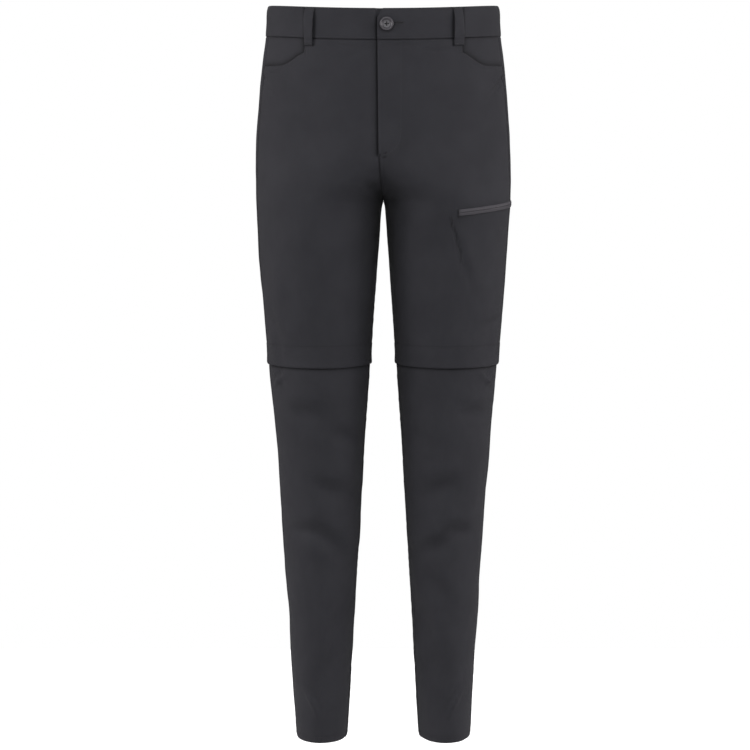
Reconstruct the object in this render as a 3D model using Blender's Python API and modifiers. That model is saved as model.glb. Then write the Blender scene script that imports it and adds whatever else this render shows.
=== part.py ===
# Convertible zip-off trousers, filled out as when worn, with no wearer.
# Metres, +Z up. The front faces -Y and +X is the wearer's left.
# The origin is the centre of the waist, half way up the waistband.
import math

import bmesh
import bpy
from mathutils import Matrix, Vector

# Outline of the cloth's outer face. At each height z: how far the outer and the inner side of a leg
# stand from the middle of the trousers, and how far front and back stand from the plane of the sides.
OUTLINE_COLUMNS = ("z", "outer", "inner", "front", "back")
OUTLINE = (
    (0.0240, 0.1612, 0.00015, 0.0980, 0.1040),
    (-0.0200, 0.1621, 0.00015, 0.1010, 0.1080),
    (-0.0500, 0.1662, 0.00015, 0.1030, 0.1150),
    (-0.0930, 0.1710, 0.00015, 0.1065, 0.1260),
    (-0.1550, 0.1753, 0.00015, 0.1090, 0.1370),
    (-0.2000, 0.1767, 0.00015, 0.1080, 0.1370),
    (-0.2450, 0.1767, 0.00015, 0.1045, 0.1280),
    (-0.2530, 0.1765, 0.0020, 0.1038, 0.1253),
    (-0.2650, 0.1760, 0.0034, 0.1026, 0.1211),
    (-0.2800, 0.1753, 0.0048, 0.1010, 0.1160),
    (-0.3640, 0.1697, 0.0108, 0.0950, 0.1000),
    (-0.4480, 0.1624, 0.0165, 0.0870, 0.0900),
    (-0.4720, 0.1613, 0.0172, 0.0850, 0.0875),
    (-0.4900, 0.1602, 0.0179, 0.0835, 0.0860),
    (-0.5750, 0.1524, 0.0238, 0.0760, 0.0800),
    (-0.7030, 0.1437, 0.0314, 0.0665, 0.0750),
    (-0.8320, 0.1353, 0.0391, 0.0600, 0.0700),
    (-0.9620, 0.1279, 0.0468, 0.0555, 0.0650),
    (-1.0100, 0.1252, 0.0498, 0.0540, 0.0640),
)
CROTCH_Z = -0.2450
FORK_HEIGHT = 0.100          # the halves part from the torso's oval over this height above the crotch
FORK_FULLNESS = 1.65         # how slowly they part, which rounds the crotch seam

# Cloth and seams
SEAM_GAP = 0.0003            # between pieces that are sewn or lie together
BEHIND_GAP = 0.0008          # behind a panel, where its flat facets cut inside the curve
CLOTH_WALL = 0.0012
BAND_WALL = 0.0020
TAPE_WALL = 0.0010
SIDE_SEAM_TURN = 0.21        # the side seams lie this far round to the front, in radians
SEAM_STRIP = 0.012           # narrow first and last columns, as a share of a panel's width

# Waistband
BAND_TOP_SIDE_Z = 0.0222
BAND_SEAM_SIDE_Z = -0.0198
BAND_DIP = 0.0064            # how much lower the band is at the front than at the sides
BAND_FACE = 0.0005           # the band stands this far proud of the panels
# How far the band rolls in, against the depth below its top edge
BAND_ROLL = ((0.0, -0.0030), (0.0040, -0.0013), (0.0090, -0.0002), (0.0160, 0.0004))
BAND_LOW_ROW = 0.0290        # depth of the band's last row above its seam
BAND_COLUMNS = 30
BAND_END_X = -0.0085         # free end of the left half, over the right half
BAND_CORNER_X = -0.0010      # where the cut corner of that end reaches the top edge
BAND_CORNER_DROP = 0.0130
BAND_UNDERLAP_X = 0.0260     # hidden end of the right half
TUCK_START = 0.0320          # the right half steps in between these distances from the middle
TUCK_END = 0.0120

# Front closing: height and x along the fly's free edge and the centre seam below it
CENTRE_LINE = ((0.030, -0.0085), (-0.0275, -0.0081), (-0.1770, -0.0065), (-0.2000, -0.0048),
               (-0.2210, -0.0030), (CROTCH_Z, 0.0))
FLY_END_Z = -0.1780
FLY_LAP = 0.0030             # how far the right front reaches under the left one
FLY_PART_Z = -0.1870         # below this height the fronts meet edge to edge
FLY_LEVEL_Z = -0.2000        # and below this one they lie level
SHIELD_EDGES = (-0.0220, 0.0260)
SHIELD_TOP_GAP = 0.0020      # below the waist seam
SHIELD_HEIGHT = 0.148

# Hand pockets: a scoop cut into each front, from under the belt loop to the side seam
POCKET_COLUMNS = ("x", "z")
POCKET_MOUTH = ((0.1075, -0.0432), (0.1144, -0.0464), (0.1266, -0.0547), (0.1405, -0.0602),
                (0.1660, -0.0606))
POCKET_X = 0.1070            # the mouth's upright edge
CORNER_STRIP = 0.003         # narrow columns each side of it, as shares of the front's width
CORNER_STEP = 0.045
FACING_X = 0.0920
FACING_MIDDLE_Z = -0.0660
FACING_LOW_Z = -0.0880
FACING_COLUMNS = 5
FACING_PAST_SEAM = 0.06      # radians

# Zip-off legs
FLAP_HEM_Z = -0.4715         # lower edge of the shorts, which covers the zip round the knee
LEG_STEP = 0.0020            # the leg's outer face lies this far inside the shorts' outer face
LEG_TOP_Z = FLAP_HEM_Z + 0.0080
HEM_Z = -1.0035
KNEE_ZIP_LOW_Z = FLAP_HEM_Z - 0.0080
KNEE_ZIP_HIGH_Z = FLAP_HEM_Z + 0.0300
KNEE_STEP_LOW_Z = FLAP_HEM_Z + 0.0100
KNEE_STEP_HIGH_Z = FLAP_HEM_Z + 0.0180

# Belt loops: where they stand on the band, and a loop's bow
LOOP_COLUMNS = ("name", "side", "face", "x")
LOOPS = (
    ("belt_loop_front_left", "left", "front", 0.1010),
    ("belt_loop_front_right", "right", "front", 0.1004),
    ("belt_loop_back_left", "left", "back", 0.1080),
    ("belt_loop_back_right", "right", "back", 0.1080),
    ("belt_loop_back_centre", "left", "back", 0.0),
)
LOOP_WIDTH = 0.0128
LOOP_WALL = 0.0012
LOOP_TOP_DROP = 0.0010       # below the band's top edge
LOOP_LOW_Z = -0.0300
LOOP_ACROSS = (0.5, 0.25, -0.25, -0.5)
# What a loop lies on, below the band's roll: depth below the top edge and lift
LOOP_CARRIER = ((0.0300, BAND_FACE), (0.0415, BAND_FACE), (0.0450, 0.0))
# The gap between a loop and what carries it, against the share of the loop's length
LOOP_BOW = ((0.0, 0.0004), (0.06, 0.0004), (0.16, 0.0014), (0.32, 0.0027), (0.5, 0.0031), (0.68, 0.0027),
            (0.84, 0.0014), (0.94, 0.0005), (1.0, 0.0005))

# Button
BUTTON_X = 0.0040
BUTTON_Z = -0.0054
BUTTON_RADIUS = 0.0093
BUTTON_HEIGHT = 0.0030
BUTTON_HOLE_RADIUS = 0.0010
BUTTON_HOLE_SPREAD = 0.0019
BUTTON_HOLE_SIDES = 8
# Half section of the button, as shares of its radius and height
BUTTON_PROFILE = ((0.0, 0.62), (0.62, 0.62), (0.76, 1.0), (0.90, 1.0), (1.0, 0.70), (1.0, 0.30),
                  (0.84, 0.0), (0.0, 0.0))

# Thigh pocket zip on the wearer's left leg, with its slider behind the side seam
ZIP_START_X = 0.1011
ZIP_START_Z = -0.2584
ZIP_SIDE_Z = -0.2491
ZIP_END_TURN = -0.72         # radians; below 0 is behind the side
ZIP_BEND = 1.5               # how sharply the zip drops towards its front end
ZIP_COLUMNS = 18
ZIP_WIDTH = 0.0085
SLIDER_TURN = -0.60
SLIDER_LENGTH = 0.0100
SLIDER_WIDTH = 0.0072
SLIDER_HEIGHT = 0.0022
BRIDGE_HALF = 0.0042         # the bridge's half length; the pull's bar turns under it
BRIDGE_BAR = 0.0010
BRIDGE_WIDTH = 0.0020
BRIDGE_CLEAR = 0.0024
PULL_LENGTH = 0.0200
PULL_WIDTH = 0.0056
PULL_WALL = 0.0012
PULL_BAR = 0.0007
PULL_HOLE_END = 0.0052
PULL_HOLE_WIDTH = 0.0030
PULL_BEVEL = 0.0003

# Largest soft folds: middle, direction in degrees from level, length, breadth and depth of each.
# x is measured from the middle of the trousers towards that side.
FOLD_COLUMNS = ("side", "face", "x", "z", "angle", "length", "breadth", "depth")
FOLDS = (
    ("right", "front", 0.070, -0.645, 20, 0.062, 0.014, 0.0024),
    ("right", "front", 0.080, -0.712, 34, 0.085, 0.014, 0.0026),
    ("right", "front", 0.062, -0.835, -82, 0.085, 0.013, 0.0020),
    ("left", "front", 0.079, -0.640, 25, 0.055, 0.014, 0.0020),
    ("left", "front", 0.078, -0.722, 29, 0.075, 0.014, 0.0026),
    ("left", "front", 0.056, -0.838, -75, 0.075, 0.013, 0.0019),
    ("right", "front", 0.132, -0.425, 62, 0.070, 0.014, 0.0022),
    ("left", "front", 0.132, -0.420, 62, 0.060, 0.014, 0.0020),
    ("right", "back", 0.085, -0.520, 8, 0.110, 0.016, 0.0026),
    ("left", "back", 0.085, -0.530, -10, 0.110, 0.016, 0.0026),
    ("right", "back", 0.080, -0.285, 22, 0.120, 0.016, 0.0028),
    ("left", "back", 0.080, -0.290, 20, 0.120, 0.016, 0.0028),
    ("right", "back", 0.085, -0.760, -30, 0.080, 0.015, 0.0022),
    ("left", "back", 0.085, -0.770, 26, 0.080, 0.015, 0.0022),
)

# Finish of each material: base colour, roughness, metallic
CLOTH_FINISH = ((0.034, 0.034, 0.039), 0.78, 0.0)
TAPE_FINISH = ((0.068, 0.066, 0.072), 0.70, 0.0)
BUTTON_FINISH = ((0.072, 0.068, 0.076), 0.42, 0.0)
METAL_FINISH = ((0.045, 0.045, 0.048), 0.35, 0.9)

# Mesh: columns of a panel, rows of a leg, and heights of the rows of the shorts
PANEL_COLUMNS = 10
BUTTON_STEPS = 20
LEG_ROWS = 18
LEG_STRIP = 0.0060
TOP_STEPS = 3
FACING_STEPS = 2
UPPER_LEVELS = (-0.075, -0.102, -0.130, -0.155, FLY_END_Z, FLY_PART_Z, FLY_LEVEL_Z, -0.218, -0.232,
                -0.241, -0.2452, -0.254, -0.272, -0.296, -0.322, -0.350, -0.378, -0.404, -0.424,
                KNEE_ZIP_HIGH_Z, KNEE_STEP_HIGH_Z, FLAP_HEM_Z)


def start_scene():
    """Empty the scene and make the collections for the parts and for the cutters."""
    for old in list(bpy.data.objects):
        bpy.data.objects.remove(old, do_unlink=True)
    collections = []
    for name in ("zip_off_trousers", "cutters"):
        collection = bpy.data.collections.new(name)
        bpy.context.scene.collection.children.link(collection)
        collections.append(collection)
    return collections


PARTS, CUTTERS = start_scene()


def read_table(rows, columns, key, wanted, at):
    """Read a table by one column and give another, on a smooth curve through its rows."""
    key_index = columns.index(key)
    value_index = columns.index(wanted)
    points = sorted((row[key_index], row[value_index]) for row in rows)
    if at <= points[0][0]:
        return points[0][1]
    if at >= points[-1][0]:
        return points[-1][1]
    last = len(points) - 1
    slopes = []
    for index in range(last + 1):
        before = points[max(index - 1, 0)]
        after = points[min(index + 1, last)]
        slopes.append((after[1] - before[1]) / (after[0] - before[0]))
    index = max(i for i in range(last) if points[i][0] <= at)
    low, high = points[index], points[index + 1]
    span = high[0] - low[0]
    t = (at - low[0]) / span
    return ((2 * t**3 - 3 * t**2 + 1) * low[1] + (t**3 - 2 * t**2 + t) * span * slopes[index]
            + (3 * t**2 - 2 * t**3) * high[1] + (t**3 - t**2) * span * slopes[index + 1])


def read_line(rows, at):
    """Read a two-column table by its first column, on straight lines between its rows."""
    points = sorted(rows)
    if at <= points[0][0]:
        return points[0][1]
    for low, high in zip(points, points[1:]):
        if at <= high[0]:
            share = (at - low[0]) / (high[0] - low[0])
            return low[1] + share * (high[1] - low[1])
    return points[-1][1]


def ease(value, start, end):
    """Go smoothly from 0 at start to 1 at end."""
    share = min(max((value - start) / (end - start), 0.0), 1.0)
    return share * share * (3 - 2 * share)


# The skin: the outer face of the panels, as a function of height and of the turn round a leg

def section(z):
    """Centre, half width, front depth and back depth of the oval that one half follows at z."""
    outer, inner, front, back = (read_table(OUTLINE, OUTLINE_COLUMNS, "z", wanted, z)
                                 for wanted in ("outer", "inner", "front", "back"))
    centre = (outer + max(inner, SEAM_GAP / 2)) / 2
    if z > CROTCH_Z:
        rise = min((z - CROTCH_Z) / FORK_HEIGHT, 1.0)
        centre *= (1 - rise) ** 2 * (1 + FORK_FULLNESS * rise)
    return centre, outer - centre, front, back


def last_turn(z):
    """The turn at which the oval reaches the middle seam, or the inseam below the crotch."""
    centre, half, front, back = section(z)
    return math.acos(max((SEAM_GAP / 2 - centre) / half, -1.0))


def turn_at(z, x):
    """The turn at which the front is x from the middle; x is negative past the middle."""
    centre, half, front, back = section(z)
    turn = math.acos(min(max((max(abs(x), SEAM_GAP / 2) - centre) / half, -1.0), 1.0))
    return turn if x > 0 else 2 * last_turn(z) - turn


def fold_depth(side, face, x, z):
    """How far the folds let the skin sink at one place."""
    depth = 0.0
    for row in FOLDS:
        fold = dict(zip(FOLD_COLUMNS, row))
        if fold["side"] != side or fold["face"] != face:
            continue
        angle = math.radians(fold["angle"])
        along = (x - fold["x"]) * math.cos(angle) + (z - fold["z"]) * math.sin(angle)
        across = (z - fold["z"]) * math.cos(angle) - (x - fold["x"]) * math.sin(angle)
        fade = (across / fold["breadth"]) ** 2 + (2 * along / fold["length"]) ** 2
        depth += fold["depth"] * math.exp(-fade)
    return depth


def skin(side, z, turn, lift=0.0):
    """A point of the skin, lifted outwards, and the outward direction there.

    Turn 0 is the side, positive turns go round the front and negative ones round the back."""
    mirrored = 1.0
    end = last_turn(z)
    turn = round(turn, 9)
    end = round(end, 9)
    if turn > end:
        turn = 2 * end - turn
        mirrored = -1.0
    if turn < -end:
        turn = -2 * end - turn
        mirrored = -1.0
    centre, half, front, back = section(z)
    face, depth = ("front", front) if turn > 0 else ("back", back)
    x = centre + half * math.cos(turn)
    y = -depth * math.sin(turn)
    step = 0.002
    above, below = section(z + step), section(z - step)
    centre_slope = (above[0] - below[0]) / (2 * step)
    half_slope = (above[1] - below[1]) / (2 * step)
    which = 2 if face == "front" else 3
    depth_slope = (above[which] - below[which]) / (2 * step)
    away = x - centre
    outward = Vector((away / half**2, y / depth**2,
                      -away * centre_slope / half**2 - away**2 * half_slope / half**3
                      - y**2 * depth_slope / depth**3)).normalized()
    point = Vector((x, y, z)) + outward * (lift - fold_depth(side, face, x, z))
    sign = mirrored if side == "left" else -mirrored
    return Vector((sign * point.x, point.y, point.z)), Vector((sign * outward.x, outward.y, outward.z))


def seam_turn(z):
    """The turn that half a seam's gap takes up at the side and at the inseam."""
    return 1.2 * SEAM_GAP / 2 / section(z)[2]


def centre_x(z, side):
    """Where a front ends at the middle, measured towards its own side."""
    line = read_line(CENTRE_LINE, z)
    if side == "left":
        return line + SEAM_GAP / 2
    return SEAM_GAP / 2 - line - FLY_LAP * ease(z, FLY_PART_Z, FLY_END_Z)


# Making objects

def finish(name, finish_values):
    """A plain material with one Principled BSDF."""
    colour, roughness, metallic = finish_values
    material = bpy.data.materials.new(name)
    material.use_nodes = True
    shader = material.node_tree.nodes["Principled BSDF"]
    shader.inputs["Base Color"].default_value = (*colour, 1.0)
    shader.inputs["Roughness"].default_value = roughness
    shader.inputs["Metallic"].default_value = metallic
    material.diffuse_color = (*colour, 1.0)
    return material


def add_object(name, bm, finish_values, collection=PARTS):
    """Turn a bmesh into a named object with its own material."""
    mesh = bpy.data.meshes.new(name)
    bm.to_mesh(mesh)
    bm.free()
    thing = bpy.data.objects.new(name, mesh)
    mesh.materials.append(finish(name, finish_values))
    collection.objects.link(thing)
    if collection is CUTTERS:
        thing.hide_render = True
        thing.display_type = "WIRE"
    return thing


def cloth(name, points, wall, flip, closed=False, finish_values=CLOTH_FINISH):
    """Loft a grid of points, rows from top to bottom, and give it a wall behind its face."""
    bm = bmesh.new()
    grid = [[bm.verts.new(point) for point in row] for row in points]
    count = len(points[0])
    for upper, lower in zip(grid, grid[1:]):
        for column in range(count if closed else count - 1):
            after = (column + 1) % count
            corners = [upper[column], upper[after], lower[after], lower[column]]
            bm.faces.new(reversed(corners) if flip else corners)
    thing = add_object(name, bm, finish_values)
    thing.data.shade_smooth()
    solidify = thing.modifiers.new("wall", "SOLIDIFY")
    solidify.thickness = wall
    solidify.offset = -1.0
    return thing


def even_shares(count):
    """Columns at even shares of a panel's width, with a narrow strip along both seams."""
    inner = [index / count for index in range(1, count)]
    return [0.0, SEAM_STRIP] + inner + [1.0 - SEAM_STRIP, 1.0]


def panel(name, side, shares, heights, turns, lift, flip=False):
    """A cloth panel between two turns. heights(row share list) gives z for each row and column."""
    points = []
    for row in heights:
        line = []
        for share, z in zip(shares, row):
            first, last = turns(z)
            turn = first + (last - first) * share
            line.append(skin(side, z, turn, lift(z, turn))[0])
        points.append(line)
    return cloth(name, points, CLOTH_WALL, flip != (side == "right"))


def own_x(z, turn):
    """Distance from the middle towards the own side, negative past the middle."""
    return skin("left", z, turn)[0].x


# Waistband

def front_dip(z, turn):
    """How much lower the band lies here than at the sides."""
    y = skin("left", z, turn)[0].y
    return BAND_DIP * (min(y, 0.0) / 0.1) ** 2


def tuck(z, turn):
    """Share of the step by which the right half goes under the left one."""
    return 1.0 - ease(own_x(z, turn), TUCK_END, TUCK_START)


def band_end_turn(side, below_top, z):
    """The turn at which a half of the band ends at the front."""
    if side == "right":
        return turn_at(z, -BAND_UNDERLAP_X)
    cut = 1.0 - min(below_top / BAND_CORNER_DROP, 1.0)
    return turn_at(z, BAND_END_X + cut * (BAND_CORNER_X - BAND_END_X))


def make_waistband(side):
    """Half of the waistband, from the centre back seam to its end at the front."""
    height = BAND_TOP_SIDE_Z - BAND_SEAM_SIDE_Z - SEAM_GAP
    rows = [row[0] for row in BAND_ROLL] + [BAND_LOW_ROW, height]
    points = []
    for below_top in rows:
        roll = read_line(BAND_ROLL + ((height, BAND_FACE),), below_top)
        level = BAND_TOP_SIDE_Z - below_top
        back = -last_turn(level)
        line = []
        for share in even_shares(BAND_COLUMNS):
            turn = back + (band_end_turn(side, below_top, level) - back) * share
            z = level - front_dip(level, turn)
            step = (BAND_WALL + 2 * SEAM_GAP) * tuck(z, turn) if side == "right" else 0.0
            line.append(skin(side, z, turn, roll - step)[0])
        points.append(line)
    return cloth("waistband_" + side, points, BAND_WALL, side == "right")


# Shorts

def waist_seam(turn):
    """Height of the seam between the band and the panels."""
    return BAND_SEAM_SIDE_Z - front_dip(BAND_SEAM_SIDE_Z, turn)


def rows_between(top_row, levels, steps):
    """Rows from an uneven top edge down to level rows."""
    rows = []
    for step in range(steps):
        share = step / steps
        rows.append([top + share * (levels[0] - top) for top in top_row])
    for level in levels:
        rows.append([level] * len(top_row))
    return rows


def front_turns(side):
    def turns(z):
        last = turn_at(z, centre_x(z, side)) if z > CROTCH_Z else last_turn(z) - seam_turn(z)
        return SIDE_SEAM_TURN + seam_turn(z), last
    return turns


def back_turns(z):
    last = -last_turn(z) if z > CROTCH_Z else seam_turn(z) - last_turn(z)
    return SIDE_SEAM_TURN - seam_turn(z), last


def front_top(turn):
    """Top edge of a front: the waist seam, and the scoop of the hand pocket."""
    z = POCKET_MOUTH[0][1]
    x = own_x(z, turn)
    if x > POCKET_X:
        return read_table(POCKET_MOUTH, POCKET_COLUMNS, "x", "z", x)
    return waist_seam(turn)


def make_front(side):
    """A front of the shorts, from the waist seam to the flap over the knee zip."""
    turns = front_turns(side)
    pocket_z = POCKET_MOUTH[0][1]
    first, last = turns(pocket_z)
    corner = (turn_at(pocket_z, POCKET_X) - first) / (last - first)
    shares = sorted(even_shares(PANEL_COLUMNS) + [corner - CORNER_STRIP, corner + CORNER_STRIP,
                                                      corner - CORNER_STEP])
    top = [front_top(first + (last - first) * share) for share in shares]

    def lift(z, turn):
        if side == "left":
            return 0.0
        return -(CLOTH_WALL + SEAM_GAP) * tuck(z, turn) * ease(z, FLY_LEVEL_Z, FLY_PART_Z)

    return panel("front_" + side, side, shares, rows_between(top, UPPER_LEVELS, TOP_STEPS), turns,
                 lift)


def make_back(side):
    """A back of the shorts."""
    shares = even_shares(PANEL_COLUMNS)
    first, last = back_turns(BAND_SEAM_SIDE_Z)
    top = [waist_seam(first + (last - first) * share) for share in shares]
    return panel("back_" + side, side, shares, rows_between(top, UPPER_LEVELS, TOP_STEPS), back_turns,
                 lambda z, turn: 0.0, flip=True)


def make_facing(side):
    """The cloth that shows in a hand pocket's mouth."""
    def turns(z):
        return SIDE_SEAM_TURN - FACING_PAST_SEAM, turn_at(z, FACING_X)
    first, last = turns(BAND_SEAM_SIDE_Z)
    shares = even_shares(FACING_COLUMNS)
    top = [waist_seam(first + (last - first) * share) for share in shares]
    lift = -(CLOTH_WALL + BEHIND_GAP)
    rows = rows_between(top, (FACING_MIDDLE_Z, FACING_LOW_Z), FACING_STEPS)
    return panel("pocket_facing_" + side, side, shares, rows, turns, lambda z, turn: lift)


def make_fly_shield():
    """The strip behind the fly."""
    def turns(z):
        return turn_at(z, SHIELD_EDGES[1]), turn_at(z, SHIELD_EDGES[0])
    top = waist_seam(math.pi / 2) - SHIELD_TOP_GAP
    levels = [top - share * SHIELD_HEIGHT for share in (0.0, 0.25, 0.5, 0.75, 1.0)]
    middle = SHIELD_EDGES[1] / (SHIELD_EDGES[1] - SHIELD_EDGES[0])
    shares = (0.0, middle / 2, middle, (1 + middle) / 2, 1.0)
    lift = -2 * CLOTH_WALL - SEAM_GAP - BEHIND_GAP
    return panel("fly_shield", "left", shares, [[level] * len(shares) for level in levels], turns,
                 lambda z, turn: lift)


# Zip-off legs

def leg_levels():
    levels = [LEG_TOP_Z, FLAP_HEM_Z - LEG_STRIP]
    for step in range(1, LEG_ROWS + 1):
        levels.append(levels[1] + (HEM_Z - levels[1]) * step / LEG_ROWS)
    return levels


def make_leg_panel(side, face):
    """A front or back of a leg that zips off."""
    turns = front_turns(side) if face == "front" else back_turns
    shares = even_shares(PANEL_COLUMNS)
    rows = [[level] * len(shares) for level in leg_levels()]
    return panel("leg_" + face + "_" + side, side, shares, rows, turns, lambda z, turn: -LEG_STEP,
                 flip=face == "back")


def make_knee_zip(side):
    """The zip's tape, a ring behind the flap and the top of the leg."""
    under_flap = -(CLOTH_WALL + SEAM_GAP)
    under_leg = -(LEG_STEP + CLOTH_WALL + SEAM_GAP)
    round_front = [index / PANEL_COLUMNS for index in range(PANEL_COLUMNS)]
    turns = [SIDE_SEAM_TURN + (math.pi - SIDE_SEAM_TURN) * share for share in round_front]
    turns += [-math.pi + (math.pi + SIDE_SEAM_TURN) * share for share in round_front]
    points = []
    for z in (KNEE_ZIP_HIGH_Z, KNEE_STEP_HIGH_Z, KNEE_STEP_LOW_Z, KNEE_ZIP_LOW_Z):
        lift = under_leg + (under_flap - under_leg) * ease(z, KNEE_STEP_LOW_Z, KNEE_STEP_HIGH_Z)
        points.append([skin(side, z, turn, lift)[0] for turn in turns])
    return cloth("knee_zip_" + side, points, TAPE_WALL, side == "right", closed=True,
                 finish_values=TAPE_FINISH)


# Trim

def make_loop(row):
    """A belt loop: a strap that lies on the band at its ends and bows out between them."""
    loop = dict(zip(LOOP_COLUMNS, row))
    sign = 1.0 if loop["face"] == "front" else -1.0
    points = []
    for share, gap in LOOP_BOW:
        line = []
        for across in LOOP_ACROSS:
            x = loop["x"] + across * LOOP_WIDTH
            turn = sign * turn_at(BAND_SEAM_SIDE_Z, x)
            below_top = LOOP_TOP_DROP + share * (BAND_TOP_SIDE_Z - LOOP_TOP_DROP - LOOP_LOW_Z)
            z = BAND_TOP_SIDE_Z - below_top - front_dip(BAND_SEAM_SIDE_Z, turn)
            carrier = read_line(BAND_ROLL + LOOP_CARRIER, below_top)
            line.append(skin(loop["side"], z, turn, carrier + gap + LOOP_WALL)[0])
        points.append(line)
    flip = (loop["face"] == "back") != (loop["side"] == "right")
    return cloth(loop["name"], points, LOOP_WALL, flip)


def local_frame(point, outward, along):
    """A matrix at a point of the skin, with its Z outwards and its X along the given direction."""
    x_axis = (along - outward * along.dot(outward)).normalized()
    y_axis = outward.cross(x_axis)
    matrix = Matrix((x_axis, y_axis, outward)).transposed().to_4x4()
    matrix.translation = point
    return matrix


def make_button():
    """The waist button, a turned rim and dish with four holes."""
    turn = turn_at(BUTTON_Z, BUTTON_X)
    point, outward = skin("left", BUTTON_Z, turn, BAND_FACE + SEAM_GAP)
    radius, height = BUTTON_RADIUS, BUTTON_HEIGHT
    bm = bmesh.new()
    corners = [bm.verts.new((across * radius, 0.0, up * height)) for across, up in BUTTON_PROFILE]
    for first, second in zip(corners, corners[1:]):
        bm.edges.new((first, second))
    button = add_object("button", bm, BUTTON_FINISH)
    screw = button.modifiers.new("turn", "SCREW")
    screw.axis = "Z"
    screw.steps = BUTTON_STEPS
    screw.render_steps = BUTTON_STEPS
    screw.use_merge_vertices = True
    screw.merge_threshold = 0.00001
    screw.use_normal_calculate = True
    button.matrix_world = local_frame(point, outward, Vector((1, 0, 0)))
    bm = bmesh.new()
    for corner in range(4):
        angle = math.pi / 4 + corner * math.pi / 2
        spot = Vector((math.cos(angle), math.sin(angle), 0)) * BUTTON_HOLE_SPREAD
        bmesh.ops.create_cone(bm, cap_ends=True, segments=BUTTON_HOLE_SIDES, radius1=BUTTON_HOLE_RADIUS,
                              radius2=BUTTON_HOLE_RADIUS, depth=3 * height, matrix=Matrix.Translation(spot))
    holes = add_object("button_holes", bm, BUTTON_FINISH, CUTTERS)
    holes.matrix_world = button.matrix_world
    add_boolean(button, holes, "DIFFERENCE")
    return button


def add_boolean(thing, tool, operation):
    boolean = thing.modifiers.new(tool.name, "BOOLEAN")
    boolean.operation = operation
    boolean.object = tool


def zip_z(turn):
    """Height of the thigh zip's middle line, which drops towards the front."""
    start_turn = turn_at(ZIP_START_Z, ZIP_START_X)
    return ZIP_SIDE_Z + (ZIP_START_Z - ZIP_SIDE_Z) * (max(turn, 0.0) / start_turn) ** ZIP_BEND


def make_thigh_zip():
    """The closed zip of the thigh pocket, a strip on the front that passes the side seam."""
    start_turn = turn_at(ZIP_START_Z, ZIP_START_X)
    points = []
    for across in (0.5, -0.5):
        line = []
        for column in range(ZIP_COLUMNS + 1):
            turn = ZIP_END_TURN + (start_turn - ZIP_END_TURN) * column / ZIP_COLUMNS
            line.append(skin("left", zip_z(turn) + across * ZIP_WIDTH, turn, SEAM_GAP + TAPE_WALL)[0])
        points.append(line)
    return cloth("thigh_zip", points, TAPE_WALL, False, finish_values=TAPE_FINISH)


def box(name, low, high, finish_values, collection=PARTS):
    """A box between two corners, in its own frame."""
    bm = bmesh.new()
    bmesh.ops.create_cube(bm, size=1.0)
    low, high = Vector(low), Vector(high)
    for vert in bm.verts:
        vert.co = Vector((vert.co[i] * (high[i] - low[i]) + (high[i] + low[i]) / 2 for i in range(3)))
    return add_object(name, bm, finish_values, collection)


def slider_frame():
    """Place of the slider on the zip; X runs forwards along the zip and Z outwards."""
    point, outward = skin("left", ZIP_SIDE_Z, SLIDER_TURN, TAPE_WALL + 2 * SEAM_GAP)
    return local_frame(point, outward, Vector((0, -1, 0)))


def make_slider():
    """The thigh zip's slider, with a bridge that holds the pull."""
    frame = slider_frame()
    half_length, half_width = SLIDER_LENGTH / 2, SLIDER_WIDTH / 2
    slider = box("thigh_zip_slider", (-half_length, -half_width, 0.0),
                 (half_length, half_width, SLIDER_HEIGHT), METAL_FINISH)
    slider.matrix_world = frame
    top = SLIDER_HEIGHT + BRIDGE_CLEAR + BRIDGE_BAR
    bridge = box("slider_bridge", (-BRIDGE_HALF, -BRIDGE_WIDTH / 2, SLIDER_HEIGHT / 2),
                 (BRIDGE_HALF, BRIDGE_WIDTH / 2, top), METAL_FINISH, CUTTERS)
    inside = BRIDGE_HALF - BRIDGE_BAR
    window = box("slider_window", (-inside, -BRIDGE_WIDTH, SLIDER_HEIGHT),
                 (inside, BRIDGE_WIDTH, SLIDER_HEIGHT + BRIDGE_CLEAR), METAL_FINISH, CUTTERS)
    bridge.matrix_world = frame
    window.matrix_world = frame
    add_boolean(slider, bridge, "UNION")
    add_boolean(slider, window, "DIFFERENCE")
    return slider


def make_pull():
    """The slider's pull tab, lying forwards; its origin is on the bar that turns under the bridge."""
    frame = slider_frame() @ Matrix.Translation((0, 0, SLIDER_HEIGHT + BRIDGE_CLEAR / 2))
    half = PULL_WIDTH / 2
    pull = box("thigh_zip_pull", (-PULL_BAR, -half, -PULL_WALL / 2), (PULL_LENGTH, half, PULL_WALL / 2),
               METAL_FINISH)
    pull.matrix_world = frame
    bevel = pull.modifiers.new("soft_edges", "BEVEL")
    bevel.width = PULL_BEVEL
    bevel.segments = 2
    hole = box("pull_hole", (PULL_BAR, -PULL_HOLE_WIDTH / 2, -PULL_WALL),
               (PULL_HOLE_END, PULL_HOLE_WIDTH / 2, PULL_WALL), METAL_FINISH, CUTTERS)
    hole.matrix_world = frame
    add_boolean(pull, hole, "DIFFERENCE")
    return pull


def make_trousers():
    for side in ("left", "right"):
        make_waistband(side)
        make_front(side)
        make_back(side)
        make_facing(side)
        make_knee_zip(side)
        make_leg_panel(side, "front")
        make_leg_panel(side, "back")
    make_fly_shield()
    for row in LOOPS:
        make_loop(row)
    make_button()
    make_thigh_zip()
    make_slider()
    make_pull()


make_trousers()
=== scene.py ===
# Convertible zip-off trousers: fine cloth, sewing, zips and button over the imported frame.
# Metres, +Z up. The front faces -Y and +X is the wearer's left, so "left" is on the viewer's right.
import math

import bmesh
import bpy
import numpy as np
from mathutils import Matrix, Vector
from mathutils.bvhtree import BVHTree


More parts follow.
